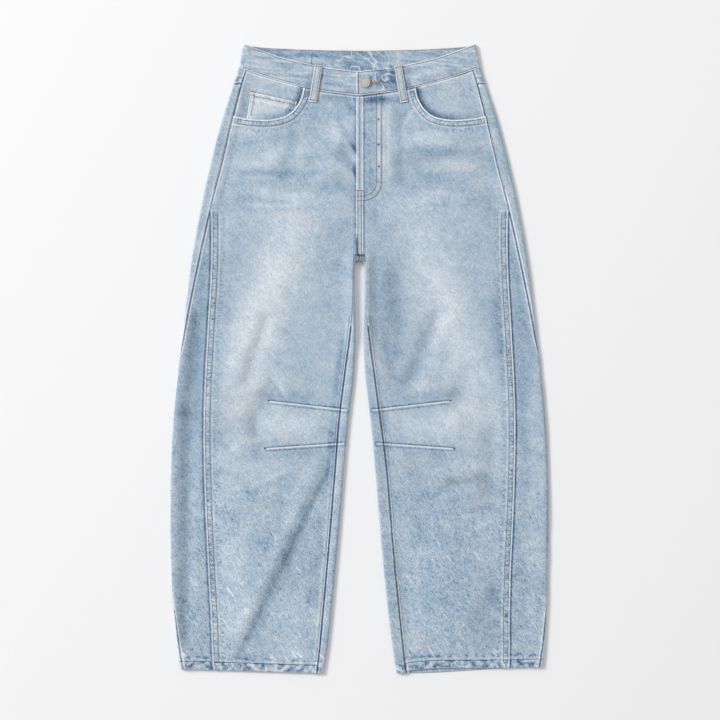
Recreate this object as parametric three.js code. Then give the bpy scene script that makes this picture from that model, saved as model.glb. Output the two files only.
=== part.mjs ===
// Barrel leg trousers in light denim, laid flat on their back with the front up.
// Sizes are in millimetres. X runs towards the wearer's left side, Y from hem to waist, Z up.
// The origin is the middle of the laid-out garment, on the surface that it rests on.
import * as THREE from 'three';

// Cloth thickness and spacing
const WALL = 1.2; // one layer of denim
const BAND_WALL = 2.4; // waistband, two layers and their turnings
const LOOP_WALL = 1.6; // belt loop, folded strip
const SEAM_GAP = 0.3; // between neighbouring pieces
const HALF_GAP = SEAM_GAP / 2;
const BAND_GAP = 0.5; // along the curved lower edge of the waistband
const LAYER_GAP = 0.45; // least air between the back layer and the front layer

// Heights of the laid cloth
const FOLD_HEIGHT = 6.2; // where a leg turns under at its edges
const FOLD_RADIUS = FOLD_HEIGHT / 2;
const FRONT_HEIGHT = 4.3; // outside of the front layer away from the folds
const LIFT = 1.5; // back layer held up by the back pockets and rear belt loops
const LIFT_FROM_FOLD = 35; // distance in from the outer fold where the lift begins
const LIFT_FULL = 55; // distance in from the outer fold where the lift is complete
const LIFT_LOW_END = 178; // height on the garment below which nothing holds the back up
const LIFT_LOW_FULL = 190;
const FRONT_LIFT_LOW_END = 105; // the front layer follows the lift more gently
const FRONT_LIFT_LOW_FULL = 205;
const FOLD_FALL = 38; // how far in the raised outer fold fades
const INNER_FOLD_FALL = 24; // the same for the fold beside the inseam
const BAND_FOLD_RADIUS = 3.6; // side turn of the waistband
const BESIDE_FOLD = 2; // flat cloth kept beside the round of a fold before the next section line
const LEAST_TURN = 3; // shortest stretch of a back panel round the outer fold

// Raised parts of the outside
const SEAM_RAISE = 0.8; // lapped seams and pocket edges
const HEM_RAISE = 1.0;
const HEM_DEPTH = 14.4;
const STEP = 1.2; // width of the slope beside a raised part
const GORE_BAND = 11.5; // lapped width beside the gore seam
const INSEAM_BAND = 6.0;
const SCOOP_BAND = 10.0;
const DART_RAISE = 1.1;
const DART_FADE = 24; // a dart's ridge sinks into the cloth over this length at its point
const FLY_BAND_RAISE = 1.3;
const FLY_RAISE = 0.6;

// Outline of the garment: outer is the side fold from the centre line, side is how far in from
// that fold the side seam lies, minus where it has gone round to the underside
const OUTLINE = [
  { y: 516, outer: 189.5, side: 12.5 },
  { y: 477, outer: 197.8, side: 12.6 },
  { y: 450, outer: 206.2, side: 12.8 },
  { y: 391, outer: 225.5, side: 17.0 },
  { y: 317, outer: 244.8, side: 18.8 },
  { y: 243, outer: 261.0, side: 16.0 },
  { y: 158, outer: 275.8, side: 11.9 },
  { y: 79, outer: 285.6, side: 5.6 },
  { y: 30, outer: 291.2, side: 2.2 },
  { y: -27, outer: 298.2, side: -2.8 },
  { y: -84, outer: 303.9, side: -7.0 },
  { y: -142, outer: 307.8, side: -10.0 },
  { y: -250, outer: 310.4, side: -9.0 },
  { y: -363, outer: 308.4, side: -2.0 },
  { y: -437, outer: 304.0, side: 1.6 },
  { y: -478, outer: 300.8, side: 3.6 },
  { y: -516, outer: 296.0, side: 6.0 },
];

// Gore seam: how far in from the outer fold it runs on the front
const GORE_SEAM = [
  { y: 245, inset: 15.8 },
  { y: 202, inset: 24.6 },
  { y: 158, inset: 31.2 },
  { y: 120, inset: 34.7 },
  { y: 79, inset: 37.0 },
  { y: 30, inset: 39.8 },
  { y: -27, inset: 43.7 },
  { y: -84, inset: 47.4 },
  { y: -142, inset: 50.9 },
  { y: -216, inset: 54.8 },
  { y: -290, inset: 58.0 },
  { y: -363, inset: 59.6 },
  { y: -437, inset: 58.0 },
  { y: -516, inset: 52.2 },
];
const GORE_POINT = 238; // height of the blunt top of the gore

// Inner edge of each leg: inner is the fold from the centre line, inseam how far in from it
const INNER_EDGE = [
  { y: 158, inner: 8.1, inseam: 4.7 },
  { y: 120, inner: 8.3, inseam: 4.6 },
  { y: 79, inner: 7.7, inseam: 6.2 },
  { y: 30, inner: 6.9, inseam: 11.6 },
  { y: -27, inner: 9.6, inseam: 15.6 },
  { y: -84, inner: 16.2, inseam: 16.0 },
  { y: -142, inner: 22.4, inseam: 16.3 },
  { y: -216, inner: 28.4, inseam: 17.2 },
  { y: -290, inner: 34.6, inseam: 16.9 },
  { y: -363, inner: 41.4, inseam: 16.6 },
  { y: -437, inner: 49.0, inseam: 16.0 },
  { y: -478, inner: 54.1, inseam: 15.0 },
  { y: -516, inner: 60.4, inseam: 13.2 },
];

// The two legs differ a little as they lie: the left one swings out at the hem
const HEM_SWING = 2.6;
const SWING_TOP = -330;
const SWING_END = -516;
const INSEAM_SHIFT = 2.4; // the left inseam lies further on to the front than the right one
const SHIFT_TOP = -60;
const SHIFT_END = -200;

// Crotch: where the inseams meet on the front, and the fold below them
const CROTCH_Y = 168;
const CROTCH_FOLD_Y = 158.3;
const CENTRE_FRONT = -5.5; // edge of the fly and of the lapped front seam
const CROTCH_ROWS = [
  { foldX: 0, foldY: CROTCH_FOLD_Y, seamX: 0, seamY: CROTCH_Y, outerY: 172 },
  { foldX: 6.0, foldY: 157.2, seamX: 11.0, seamY: CROTCH_Y, outerY: 165 },
  { foldX: 8.0, foldY: 152.4, seamX: 12.8, seamY: 160.0, outerY: 157 },
];

// Waistband edges by distance from the centre line
const BAND_OUTER_LOW = 197.8;
const BAND_OUTER_TOP = 190.3;
const BAND_LOW_FRONT = [
  { x: 0, y: 430.4 },
  { x: 60, y: 437.8 },
  { x: 85, y: 442.8 },
  { x: 120, y: 452.0 },
  { x: 160, y: 463.8 },
  { x: 198, y: 477.0 },
];
const BAND_TOP_FRONT = [
  { x: 0, y: 470.6 },
  { x: 55, y: 477.4 },
  { x: 90, y: 484.6 },
  { x: 132, y: 494.8 },
  { x: 190.3, y: 516.0 },
];
const BAND_LOW_BACK = [
  { x: 0, y: 464.2 },
  { x: 100, y: 466.8 },
  { x: 198, y: 477.0 },
];
const BAND_TOP_BACK = [
  { x: 0, y: 505.2 },
  { x: 100, y: 507.6 },
  { x: 165, y: 511.4 },
  { x: 190.3, y: 516.0 },
];
const TAB_END = 26; // under end of the waistband, past the centre line
const OVERLAP_FLAT = 29; // the over end lies raised up to here
const OVERLAP_RAMP = 47; // and is back on its own level from here
const BAND_CREST = 0.3; // soft roundness across the waistband

// Pocket scoop edge, from the waistband to the side seam
const SCOOP = [
  { x: 92.0, y: 443.9 },
  { x: 96.4, y: 426.0 },
  { x: 107.0, y: 408.6 },
  { x: 123.0, y: 396.8 },
  { x: 150.0, y: 391.4 },
  { x: 178.0, y: 392.6 },
  { x: 195.0, y: 395.2 },
];
const SCOOP_SIDE_Y = 398.0;
// Sections along the pocket edge: distance from the edge, and drop below the waistband
const SCOOP_ROWS = [
  { away: 0, centreDrop: BAND_GAP, raise: SEAM_RAISE },
  { away: SCOOP_BAND, centreDrop: 18, raise: SEAM_RAISE },
  { away: SCOOP_BAND + STEP, centreDrop: 38, raise: 0 },
];
const FACING_DROP = 8.0; // how far the facing goes on under the scoop edge
const FACING_START_X = 80.0;
const FACING_START_Y = 418.0;
const FACING_TOP_Y = 472.0;
// Sections of the facing: height on the side seam, and share of the way up elsewhere
const FACING_ROWS = [
  { sideY: SCOOP_SIDE_Y - FACING_DROP, share: 0 },
  { sideY: SCOOP_SIDE_Y, share: 0.1 },
  { sideY: 424, share: 0.4 },
  { sideY: 450, share: 0.7 },
  { sideY: FACING_TOP_Y, share: 1 },
];

// Coin pocket on the right facing: its top edge and its outer side
const COIN_TOP_INNER = { x: 101.0, y: 422.6 };
const COIN_TOP_OUTER = { x: 181.2, y: 440.4 };
const COIN_LOW_OUTER = { x: 187.5, y: 396.4 };
const COIN_WALL = 1.0;
const COIN_CLEAR = 0.8;
const COIN_RISE = 0.25; // keeps it clear of the facing where that curves
const COIN_CORNER = { x: 103.2, least: 3 }; // lower inner corner and its least depth

// Columns of the front panels near the centre, as distances from the centre line
const LEFT_COLUMNS = [6.3, 7.8, 27.6, 31.0, 50, 70];
const RIGHT_COLUMNS = [12, 20, 28, 38, 54, 70];
const LEG_SPACES = 9; // even spaces across a front panel in the leg
const BODY_SPACES = 5; // the same in the body, outside the fly columns
const ARCH_SPREAD = 2.5; // least space between columns beside the crotch arch

// Fly stitching curve on the left front
const FLY_BAND_EDGE = 6.4;
const FLY_WIDTH = 30.0;
const FLY_TURN_Y = 289;
const FLY_END_Y = 262;

// Knee darts: y at the point of the dart and at the inseam, and how far out the point lies
const DARTS = [
  { tipX: 151, tipY: -70.5, seamY: -84.0 },
  { tipX: 157, tipY: -148.8, seamY: -140.6 },
];
const DART_HALF_WIDTH = 5.0;

// Hem: height of the lower edge at the inner end, middle and outer end
const HEM = {
  right: { inner: -516.0, middle: -513.2, outer: -509.4, backMiddle: -513.6 },
  left: { inner: -516.0, middle: -506.0, outer: -505.6, backMiddle: -513.0 },
};

// Heights of the plain sections, body then legs
const BODY_LEVELS = [366, 335, 305, 285, 262, 243, 212, 187];
const BACK_BODY_LEVELS = [366, 335, 305, 243, 212, 190, 178];
const UPPER_LEG_LEVELS = [135, 95, 55, 15, -32];
const KNEE_LEVEL = -110;
const LOWER_LEG_LEVELS = [-190, -240, -292, -345, -400, -455];

// Largest folds: soft ridges (rise above 0) and troughs along a line
const FOLDS = [
  { x0: -112, y0: 424, x1: -172, y1: 416, width: 42, rise: 1.1 },
  { x0: 112, y0: 424, x1: 172, y1: 416, width: 42, rise: 1.1 },
  { x0: -114, y0: 189, x1: -201, y1: -17, width: 30, rise: 1.3 },
  { x0: -61, y0: -183, x1: -122, y1: -337, width: 15, rise: -1.1 },
  { x0: -122, y0: -337, x1: -162, y1: -436, width: 15, rise: -1.0 },
  { x0: -150, y0: -60, x1: -180, y1: -104, width: 13, rise: -0.9 },
  { x0: -180, y0: -104, x1: -165, y1: -152, width: 13, rise: -0.8 },
  { x0: -127, y0: -194, x1: -172, y1: -218, width: 11, rise: -0.6 },
  { x0: -80, y0: -112, x1: -142, y1: -110, width: 20, rise: 1.0 },
  { x0: -212, y0: -250, x1: -196, y1: -420, width: 34, rise: 1.2 },
  { x0: -120, y0: -420, x1: -96, y1: -480, width: 24, rise: 1.0 },
  { x0: 115, y0: 178, x1: 198, y1: -35, width: 30, rise: 1.2 },
  { x0: 55, y0: 132, x1: 66, y1: 14, width: 14, rise: -1.0 },
  { x0: 212, y0: -128, x1: 208, y1: -218, width: 16, rise: -1.1 },
  { x0: 84, y0: -112, x1: 150, y1: -110, width: 20, rise: 1.0 },
  { x0: 130, y0: -236, x1: 142, y1: -420, width: 34, rise: 1.2 },
  { x0: 218, y0: -392, x1: 200, y1: -436, width: 12, rise: -0.8 },
];

// Belt loops: top and bottom of the centre line of each, seen from the front
const FRONT_LOOPS = {
  right: { topX: -66.8, topY: 480.6, lowX: -76.8, lowY: 419.8 },
  left: { topX: 62.8, topY: 479.6, lowX: 73.5, lowY: 419.6 },
};
const LOOP_WIDTH = 13.0;
const LOOP_BOW = 1.3; // how far a loop stands off the waistband halfway
const BACK_LOOP_X = 105;
const BACK_LOOP_TOP = 506;
const BACK_LOOP_LOW = 446;
const BACK_LOOP_WALL = 1.2;

// Back pockets, flat under the back panels
const BACK_POCKET = { inner: 38, outer: 176, top: 350, corner: 214, tip: 196, wall: 1.2 };

// Yoke seam on the back
const YOKE_SIDE_Y = 450;
const YOKE_CENTRE_Y = 396;
const BAND_SIDE_Y = 477;
const YOKE_ROWS = [
  { y: BAND_SIDE_Y - SEAM_GAP, centreY: 464 },
  { y: 463, centreY: 430 },
  { y: YOKE_SIDE_Y, centreY: YOKE_CENTRE_Y },
];
// Upper sections of a back panel, at the side and at the centre seam
const BACK_TOP_ROWS = [
  { y: YOKE_SIDE_Y - SEAM_GAP, centreY: YOKE_CENTRE_Y - SEAM_GAP },
  { y: 424, centreY: 386 },
  { y: SCOOP_SIDE_Y, centreY: 376 },
];
const YOKE_SPACES = 4;

// Metal parts
const BUTTON = { x: 8.7, y: 452.0, radius: 8.75, height: 4.0, rim: 0.9, sink: 0.7 };
const RIVET = { x: 203.0, y: 391.6, radius: 3.6, height: 1.3 };
const TURN_STEPS = 20;
const RIVET_STEPS = 12;

// Colours
const DENIM = 0xa9c4dc;
const DENIM_BACK = 0x9dbbd6;
const DENIM_BAND = 0xa3c0da;
const METAL = 0xb3aa9f;

// A smooth curve through table rows, for the named column
function curve(rows, by, column, at) {
  const ordered = [...rows].sort((a, b) => a[by] - b[by]);
  const last = ordered.length - 1;
  if (at <= ordered[0][by]) return ordered[0][column];
  if (at >= ordered[last][by]) return ordered[last][column];
  let k = 0;
  while (at > ordered[k + 1][by]) k += 1;
  const slope = (i) => {
    const low = Math.max(0, i - 1);
    const high = Math.min(last, i + 1);
    return (ordered[high][column] - ordered[low][column]) / (ordered[high][by] - ordered[low][by]);
  };
  const span = ordered[k + 1][by] - ordered[k][by];
  const t = (at - ordered[k][by]) / span;
  const t2 = t * t;
  const t3 = t2 * t;
  return (2 * t3 - 3 * t2 + 1) * ordered[k][column]
    + (t3 - 2 * t2 + t) * span * slope(k)
    + (3 * t2 - 2 * t3) * ordered[k + 1][column]
    + (t3 - t2) * span * slope(k + 1);
}

// The straight lines between the same rows
function straight(rows, by, column, at) {
  let k = 0;
  while (k < rows.length - 2 && at > rows[k + 1][by]) k += 1;
  const t = (at - rows[k][by]) / (rows[k + 1][by] - rows[k][by]);
  return rows[k][column] + t * (rows[k + 1][column] - rows[k][column]);
}

function mix(a, b, t) {
  return a + (b - a) * t;
}

// 0 at start, 1 at end, with soft ends; start may be above end
function ease(start, end, at) {
  const t = Math.min(1, Math.max(0, (at - start) / (end - start)));
  return t * t * (3 - 2 * t);
}

// Outer fold, side seam, gore seam, inner fold and inseam of one leg at a height
function outerAt(side, y) {
  return curve(OUTLINE, 'y', 'outer', y) + side * HEM_SWING * ease(SWING_TOP, SWING_END, y);
}

function sideAt(side, y) {
  return curve(OUTLINE, 'y', 'side', y);
}

function goreAt(side, y) {
  return curve(GORE_SEAM, 'y', 'inset', y);
}

function innerAt(side, y) {
  return curve(INNER_EDGE, 'y', 'inner', y) + side * (HEM_SWING / 3) * ease(SWING_TOP, SWING_END, y);
}

function inseamAt(side, y) {
  return curve(INNER_EDGE, 'y', 'inseam', y) + side * INSEAM_SHIFT * ease(SHIFT_TOP, SHIFT_END, y);
}

// Distance from the fold between the legs, which runs over the crotch as an arch
function fromInnerFold(side, x, y) {
  if (y < CROTCH_FOLD_Y) return x - innerAt(side, y);
  const beyond = Math.max(0, x - innerAt(side, CROTCH_FOLD_Y));
  return Math.hypot(beyond, y - CROTCH_FOLD_Y);
}

// Height of the back layer's underside, x measured from the centre line
function underAt(side, x, y) {
  const fromFold = outerAt(side, y) - x;
  return LIFT * ease(LIFT_FROM_FOLD, LIFT_FULL, fromFold) * ease(LIFT_LOW_END, LIFT_LOW_FULL, y);
}

// Rise or fall of the largest folds at a point
function foldsAt(x, y) {
  let total = 0;
  for (const fold of FOLDS) {
    const dx = fold.x1 - fold.x0;
    const dy = fold.y1 - fold.y0;
    const length = Math.hypot(dx, dy);
    const t = ((x - fold.x0) * dx + (y - fold.y0) * dy) / (length * length);
    const clamped = Math.min(1, Math.max(0, t));
    const away = Math.hypot(x - fold.x0 - clamped * dx, y - fold.y0 - clamped * dy);
    total += fold.rise * Math.exp(-((away / fold.width) ** 2));
  }
  return total;
}

// Height of the front layer's outside, x measured from the centre line
function frontAt(side, x, y) {
  const outerDistance = outerAt(side, y) - x;
  const innerDistance = fromInnerFold(side, x, y);
  const nearOuter = 1 - ease(FOLD_RADIUS, FOLD_FALL, outerDistance);
  const nearInner = 1 - ease(FOLD_RADIUS, INNER_FOLD_FALL, innerDistance);
  const near = Math.max(nearOuter, nearInner);
  const under = underAt(side, x, y);
  const across = ease(LIFT_FROM_FOLD, LIFT_FULL, outerDistance);
  const plain = FRONT_HEIGHT + LIFT * across * ease(FRONT_LIFT_LOW_END, FRONT_LIFT_LOW_FULL, y);
  const lifted = mix(plain, Math.max(plain, FOLD_HEIGHT), near);
  const folded = lifted + foldsAt(side * x, y) * (1 - near);
  return Math.max(folded, under + 2 * WALL + LAYER_GAP);
}

// A cloth point: its outside and its inside, one wall apart
function layer(side, x, y, z, wallDown, raise) {
  return { out: [side * x, y, z + raise], in: [side * x, y, z - wallDown] };
}

function frontPoint(side, x, y, raise = 0) {
  return layer(side, x, y, frontAt(side, x, y), WALL, raise);
}

// A point round the outer fold: turn is the length along the section from its outermost line,
// above 0 on the front and below 0 on the back
function outerTurn(side, y, turn, raise = 0) {
  const radius = FOLD_RADIUS;
  const outer = outerAt(side, y);
  const quarter = radius * Math.PI / 2;
  const flat = Math.abs(turn) - quarter;
  if (flat > 0) {
    const x = outer - radius - flat;
    if (turn > 0) return frontPoint(side, x, y, raise);
    const under = underAt(side, x, y);
    return { out: [side * x, y, under], in: [side * x, y, under + WALL] };
  }
  const angle = turn / radius;
  const bulge = raise * Math.max(0, Math.sin(angle));
  const at = (reach) => [
    side * (outer - radius + reach * Math.cos(angle)),
    y,
    radius + reach * Math.sin(angle),
  ];
  return { out: at(radius + bulge), in: at(radius - WALL) };
}

// Length round the outer fold for a distance in from the outline
function turnFor(inset) {
  const size = Math.abs(inset);
  const quarter = FOLD_RADIUS * Math.PI / 2;
  const length = size < FOLD_RADIUS
    ? FOLD_RADIUS * Math.acos(1 - size / FOLD_RADIUS)
    : quarter + size - FOLD_RADIUS;
  return inset < 0 ? -length : length;
}

// A point round the inner fold, from a fold point along the direction to its seam point
function innerTurn(side, row, reach, angle) {
  const length = Math.hypot(row.seamX - row.foldX, row.seamY - row.foldY);
  const ux = (row.seamX - row.foldX) / length;
  const uy = (row.seamY - row.foldY) / length;
  const at = (distance, z) => [
    side * (row.foldX + ux * distance),
    row.foldY + uy * distance,
    z,
  ];
  if (reach > FOLD_RADIUS) {
    const flat = at(reach, 0);
    if (angle < 0) return { out: flat, in: [flat[0], flat[1], WALL] };
    return frontPoint(side, side * flat[0], flat[1]);
  }
  const round = (radius) => at(
    FOLD_RADIUS - radius * Math.cos(angle),
    FOLD_RADIUS + radius * Math.sin(angle),
  );
  return { out: round(FOLD_RADIUS), in: round(FOLD_RADIUS - WALL) };
}

// Closed mesh from a list of triangles given as three points each
function solid(name, triangles, colour, metal) {
  let volume = 0;
  for (const [a, b, c] of triangles) {
    volume += a[0] * (b[1] * c[2] - b[2] * c[1])
      + a[1] * (b[2] * c[0] - b[0] * c[2])
      + a[2] * (b[0] * c[1] - b[1] * c[0]);
  }
  const positions = [];
  for (const [a, b, c] of triangles) {
    const ordered = volume > 0 ? [a, b, c] : [a, c, b];
    for (const point of ordered) positions.push(...point);
  }
  const geometry = new THREE.BufferGeometry();
  geometry.setAttribute('position', new THREE.Float32BufferAttribute(positions, 3));
  geometry.computeVertexNormals();
  const material = new THREE.MeshStandardMaterial({
    color: colour,
    roughness: metal ? 0.4 : 0.9,
    metalness: metal ? 0.8 : 0,
  });
  const mesh = new THREE.Mesh(geometry, material);
  mesh.name = name;
  return mesh;
}

// Wall of cloth over rows of points; rows may be longer from some row on
function wall(name, rows, colour) {
  const triangles = [];
  const has = (i, j) => i >= 0 && j >= 0 && i < rows.length - 1
    && j < Math.min(rows[i].length, rows[i + 1].length) - 1;
  const quad = (a, b, c, d) => triangles.push([a, b, c], [a, c, d]);
  const edge = (p, q) => quad(p.out, p.in, q.in, q.out);
  const backEdge = (p, q) => triangles.push([p.out, p.in, q.out], [p.in, q.in, q.out]);
  for (let i = 0; i < rows.length - 1; i += 1) {
    for (let j = 0; has(i, j); j += 1) {
      const a = rows[i][j];
      const b = rows[i][j + 1];
      const c = rows[i + 1][j + 1];
      const d = rows[i + 1][j];
      quad(a.out, b.out, c.out, d.out);
      triangles.push([a.in, c.in, b.in], [a.in, d.in, c.in]);
      if (!has(i - 1, j)) edge(a, b);
      if (!has(i, j + 1)) edge(b, c);
      if (!has(i + 1, j)) backEdge(c, d);
      if (!has(i, j - 1)) backEdge(d, a);
    }
  }
  return solid(name, triangles, colour, false);
}

// Round part turned about an upright line through x, y
function turned(name, profile, x, y, steps, colour) {
  const triangles = [];
  const at = (radius, z, k) => {
    const angle = (2 * Math.PI * k) / steps;
    return [x + radius * Math.cos(angle), y + radius * Math.sin(angle), z];
  };
  for (let i = 0; i < profile.length - 1; i += 1) {
    const [lowR, lowZ] = profile[i];
    const [highR, highZ] = profile[i + 1];
    for (let k = 0; k < steps; k += 1) {
      const a = at(lowR, lowZ, k);
      const b = at(lowR, lowZ, k + 1);
      const c = at(highR, highZ, k + 1);
      const d = at(highR, highZ, k);
      if (lowR > 0) triangles.push([a, b, c]);
      if (highR > 0) triangles.push([a, c, d]);
    }
  }
  return solid(name, triangles, colour, true);
}

// Lower edge of a leg at a fraction across it, front layer or back layer
function hemAt(side, across, back) {
  const hem = side < 0 ? HEM.right : HEM.left;
  const middle = back ? hem.backMiddle : hem.middle;
  const even = mix(hem.inner, hem.outer, across);
  const sag = middle - mix(hem.inner, hem.outer, 0.5);
  return even + sag * Math.sin(Math.PI * Math.sqrt(across)) ** 2;
}

// Sections of a leg below the crotch: y at the gore seam and at the inseam
function legLevels(detail) {
  const levels = UPPER_LEG_LEVELS.map((y) => ({ y, seamY: y }));
  DARTS.forEach((dart, index) => {
    const offsets = detail ? [DART_HALF_WIDTH, 0, -DART_HALF_WIDTH] : [0];
    for (const offset of offsets) {
      const ridge = offset === 0 ? dart : null;
      levels.push({ y: dart.tipY + offset, seamY: dart.seamY + offset, tipX: dart.tipX, ridge });
    }
    if (index === 0) levels.push({ y: KNEE_LEVEL, seamY: KNEE_LEVEL - 1 });
  });
  for (const y of LOWER_LEG_LEVELS) levels.push({ y, seamY: y });
  return levels;
}

// Height of a section line at a distance from the centre line
function levelY(level, x, seamX) {
  if (!level.tipX || x >= level.tipX) return level.y;
  return mix(level.seamY, level.y, (x - seamX) / (level.tipX - seamX));
}

const HEM_ROWS = [
  { above: HEM_DEPTH + STEP, raise: 0 },
  { above: HEM_DEPTH, raise: HEM_RAISE },
  { above: 0, raise: HEM_RAISE },
];

// Front panel columns in a leg: the inseam, its band, even columns, the gore band, the gore seam
function legColumns(side, y) {
  const start = innerAt(side, y) + inseamAt(side, y) + HALF_GAP;
  const end = outerAt(side, y) - goreAt(side, y) - HALF_GAP;
  const first = start + INSEAM_BAND + STEP;
  const lastPlain = end - GORE_BAND - STEP;
  const columns = [start, start + INSEAM_BAND, first];
  for (let k = 1; k <= LEG_SPACES; k += 1) columns.push(mix(first, lastPlain, k / LEG_SPACES));
  columns.push(end - GORE_BAND, end);
  return columns;
}

// Front panel columns in the body: the centre, fly columns, even columns, the side
function bodyColumns(side, y) {
  const centre = side < 0 ? -CENTRE_FRONT + HALF_GAP : CENTRE_FRONT + HALF_GAP;
  const near = side < 0 ? RIGHT_COLUMNS : LEFT_COLUMNS;
  const seam = y > GORE_SEAM[0].y ? sideAt(side, y) : goreAt(side, y);
  const end = outerAt(side, y) - seam - HALF_GAP;
  const lastPlain = end - GORE_BAND - STEP;
  const columns = [centre, ...near];
  for (let k = 1; k <= BODY_SPACES; k += 1) {
    columns.push(mix(near[near.length - 1], lastPlain, k / BODY_SPACES));
  }
  columns.push(end - GORE_BAND, end);
  return columns;
}

function flyRaise(x, y) {
  const curveEnd = y < FLY_TURN_Y
    ? FLY_BAND_EDGE + (FLY_WIDTH - FLY_BAND_EDGE) * Math.sqrt(
      Math.max(0, 1 - ((FLY_TURN_Y - y) / (FLY_TURN_Y - FLY_END_Y)) ** 2),
    )
    : FLY_WIDTH;
  if (x <= FLY_BAND_EDGE) return FLY_BAND_RAISE;
  return x < curveEnd && y > FLY_END_Y ? FLY_RAISE : 0;
}

// Raise of the front panel's outside for a column of the body or of a leg
function frontRaise(side, column, count, y, x) {
  const lapped = y < GORE_SEAM[0].y ? SEAM_RAISE : SEAM_RAISE / 2;
  if (column >= count - 2) return lapped;
  if (side > 0 && y > CROTCH_Y - 1) return flyRaise(x, y);
  if (y < CROTCH_Y - 1 && column <= 1) return SEAM_RAISE / 2;
  return 0;
}

function scoopPoints(side) {
  const sideX = outerAt(side, SCOOP_SIDE_Y) - sideAt(side, SCOOP_SIDE_Y) - HALF_GAP;
  return [...SCOOP, { x: sideX, y: SCOOP_SIDE_Y }];
}

// Direction away from the pocket opening at a point of the scoop edge
function scoopNormal(points, k) {
  const before = points[Math.max(0, k - 1)];
  const after = points[Math.min(points.length - 1, k + 1)];
  const length = Math.hypot(after.x - before.x, after.y - before.y);
  return { x: (after.y - before.y) / length, y: -(after.x - before.x) / length };
}

function frontPanel(side, name) {
  const rows = [];
  const scoop = scoopPoints(side);
  const top = bodyColumns(side, BODY_LEVELS[0]);
  const count = top.length;
  const firstScoop = count - scoop.length;
  for (const band of SCOOP_ROWS) {
    const row = [];
    for (let j = 0; j < count; j += 1) {
      if (j < firstScoop) {
        const y = curve(BAND_LOW_FRONT, 'x', 'y', top[j]) - band.centreDrop;
        row.push(frontPoint(side, top[j], y, side > 0 ? flyRaise(top[j], y) : 0));
      } else {
        const k = j - firstScoop;
        const point = scoop[k];
        const normal = scoopNormal(scoop, k);
        const sideEnd = k === scoop.length - 1;
        const y = sideEnd ? point.y - band.away : point.y + normal.y * band.away - (k === 0 ? BAND_GAP : 0);
        const x = sideEnd
          ? outerAt(side, y) - sideAt(side, y) - HALF_GAP
          : point.x + normal.x * band.away;
        row.push(frontPoint(side, x, y, band.raise));
      }
    }
    rows.push(row);
  }
  for (const y of BODY_LEVELS) {
    rows.push(bodyColumns(side, y).map((x, j) => (
      frontPoint(side, x, y, frontRaise(side, j, count, y, x))
    )));
  }
  CROTCH_ROWS.forEach((crotch, index) => {
    const body = bodyColumns(side, crotch.outerY);
    const leg = legColumns(side, crotch.outerY);
    const share = (index + 1) / (CROTCH_ROWS.length + 1);
    rows.push(body.map((bodyX, j) => {
      let x = mix(bodyX, leg[j], share);
      let y = mix(crotch.seamY, crotch.outerY, ease(0, 1, Math.min(1, j / 3)));
      if (j === 0) {
        x = index === 0 ? bodyX : crotch.seamX + HALF_GAP;
        y = crotch.seamY + HALF_GAP;
      }
      if (index > 0 && j > 0) x = Math.max(x, crotch.seamX + j * ARCH_SPREAD);
      return frontPoint(side, x, y, j === 0 && index > 0 ? 0 : frontRaise(side, j, count, CROTCH_Y, x));
    }));
  });
  for (const level of legLevels(true)) {
    const seamX = innerAt(side, level.seamY) + inseamAt(side, level.seamY) + HALF_GAP;
    rows.push(legColumns(side, level.y).map((plainX, j) => {
      const y = levelY(level, plainX, seamX);
      const x = legColumns(side, y)[j];
      const fade = level.ridge ? 1 - ease(level.tipX - DART_FADE, level.tipX, x) : 0;
      return frontPoint(side, x, y, frontRaise(side, j, count, y, x) + DART_RAISE * fade);
    }));
  }
  for (const hemRow of HEM_ROWS) {
    const wide = legColumns(side, SWING_END + HEM_DEPTH);
    const start = innerAt(side, SWING_END);
    const width = outerAt(side, SWING_END) - start;
    rows.push(wide.map((plainX, j) => {
      const across = (plainX - start) / width;
      const y = hemAt(side, across, false) + hemRow.above;
      const x = legColumns(side, y)[j];
      return frontPoint(side, x, y, Math.max(hemRow.raise, frontRaise(side, j, count, y, x)));
    }));
  }
  return wall(name, rows, DENIM);
}

// Lengths round the outer fold for the gore, from the gore seam to the side seam
function goreTurns(side, y) {
  const start = turnFor(goreAt(side, y)) - HALF_GAP;
  const end = turnFor(sideAt(side, y)) + HALF_GAP;
  const capTop = FOLD_RADIUS * Math.PI / 2 + BESIDE_FOLD;
  const middle = Math.max(mix(end, start, 0.45), Math.min(capTop, mix(end, start, 0.9)));
  const turns = [];
  const flatSpaces = 3;
  const capSpaces = 5;
  for (let k = 0; k < flatSpaces; k += 1) turns.push(mix(start, middle, k / flatSpaces));
  for (let k = 0; k <= capSpaces; k += 1) turns.push(mix(middle, end, k / capSpaces));
  return turns;
}

function gorePanel(side, name) {
  const heights = [GORE_POINT, ...BODY_LEVELS.filter((y) => y < GORE_POINT)];
  for (const crotch of CROTCH_ROWS) heights.push(crotch.outerY);
  for (const level of legLevels(false)) heights.push(level.y);
  const rows = heights.map((y) => goreTurns(side, y).map((turn) => outerTurn(side, y, turn)));
  for (const hemRow of HEM_ROWS) {
    const plain = hemAt(side, 1, false) + hemRow.above;
    rows.push(goreTurns(side, plain).map((turn) => {
      const inset = Math.max(0, turn);
      const width = outerAt(side, SWING_END) - innerAt(side, SWING_END);
      const across = Math.max(0, 1 - inset / width);
      const y = hemAt(side, across, false) + hemRow.above;
      return outerTurn(side, y, turn, hemRow.raise);
    }));
  }
  return wall(name, rows, DENIM);
}

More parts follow.
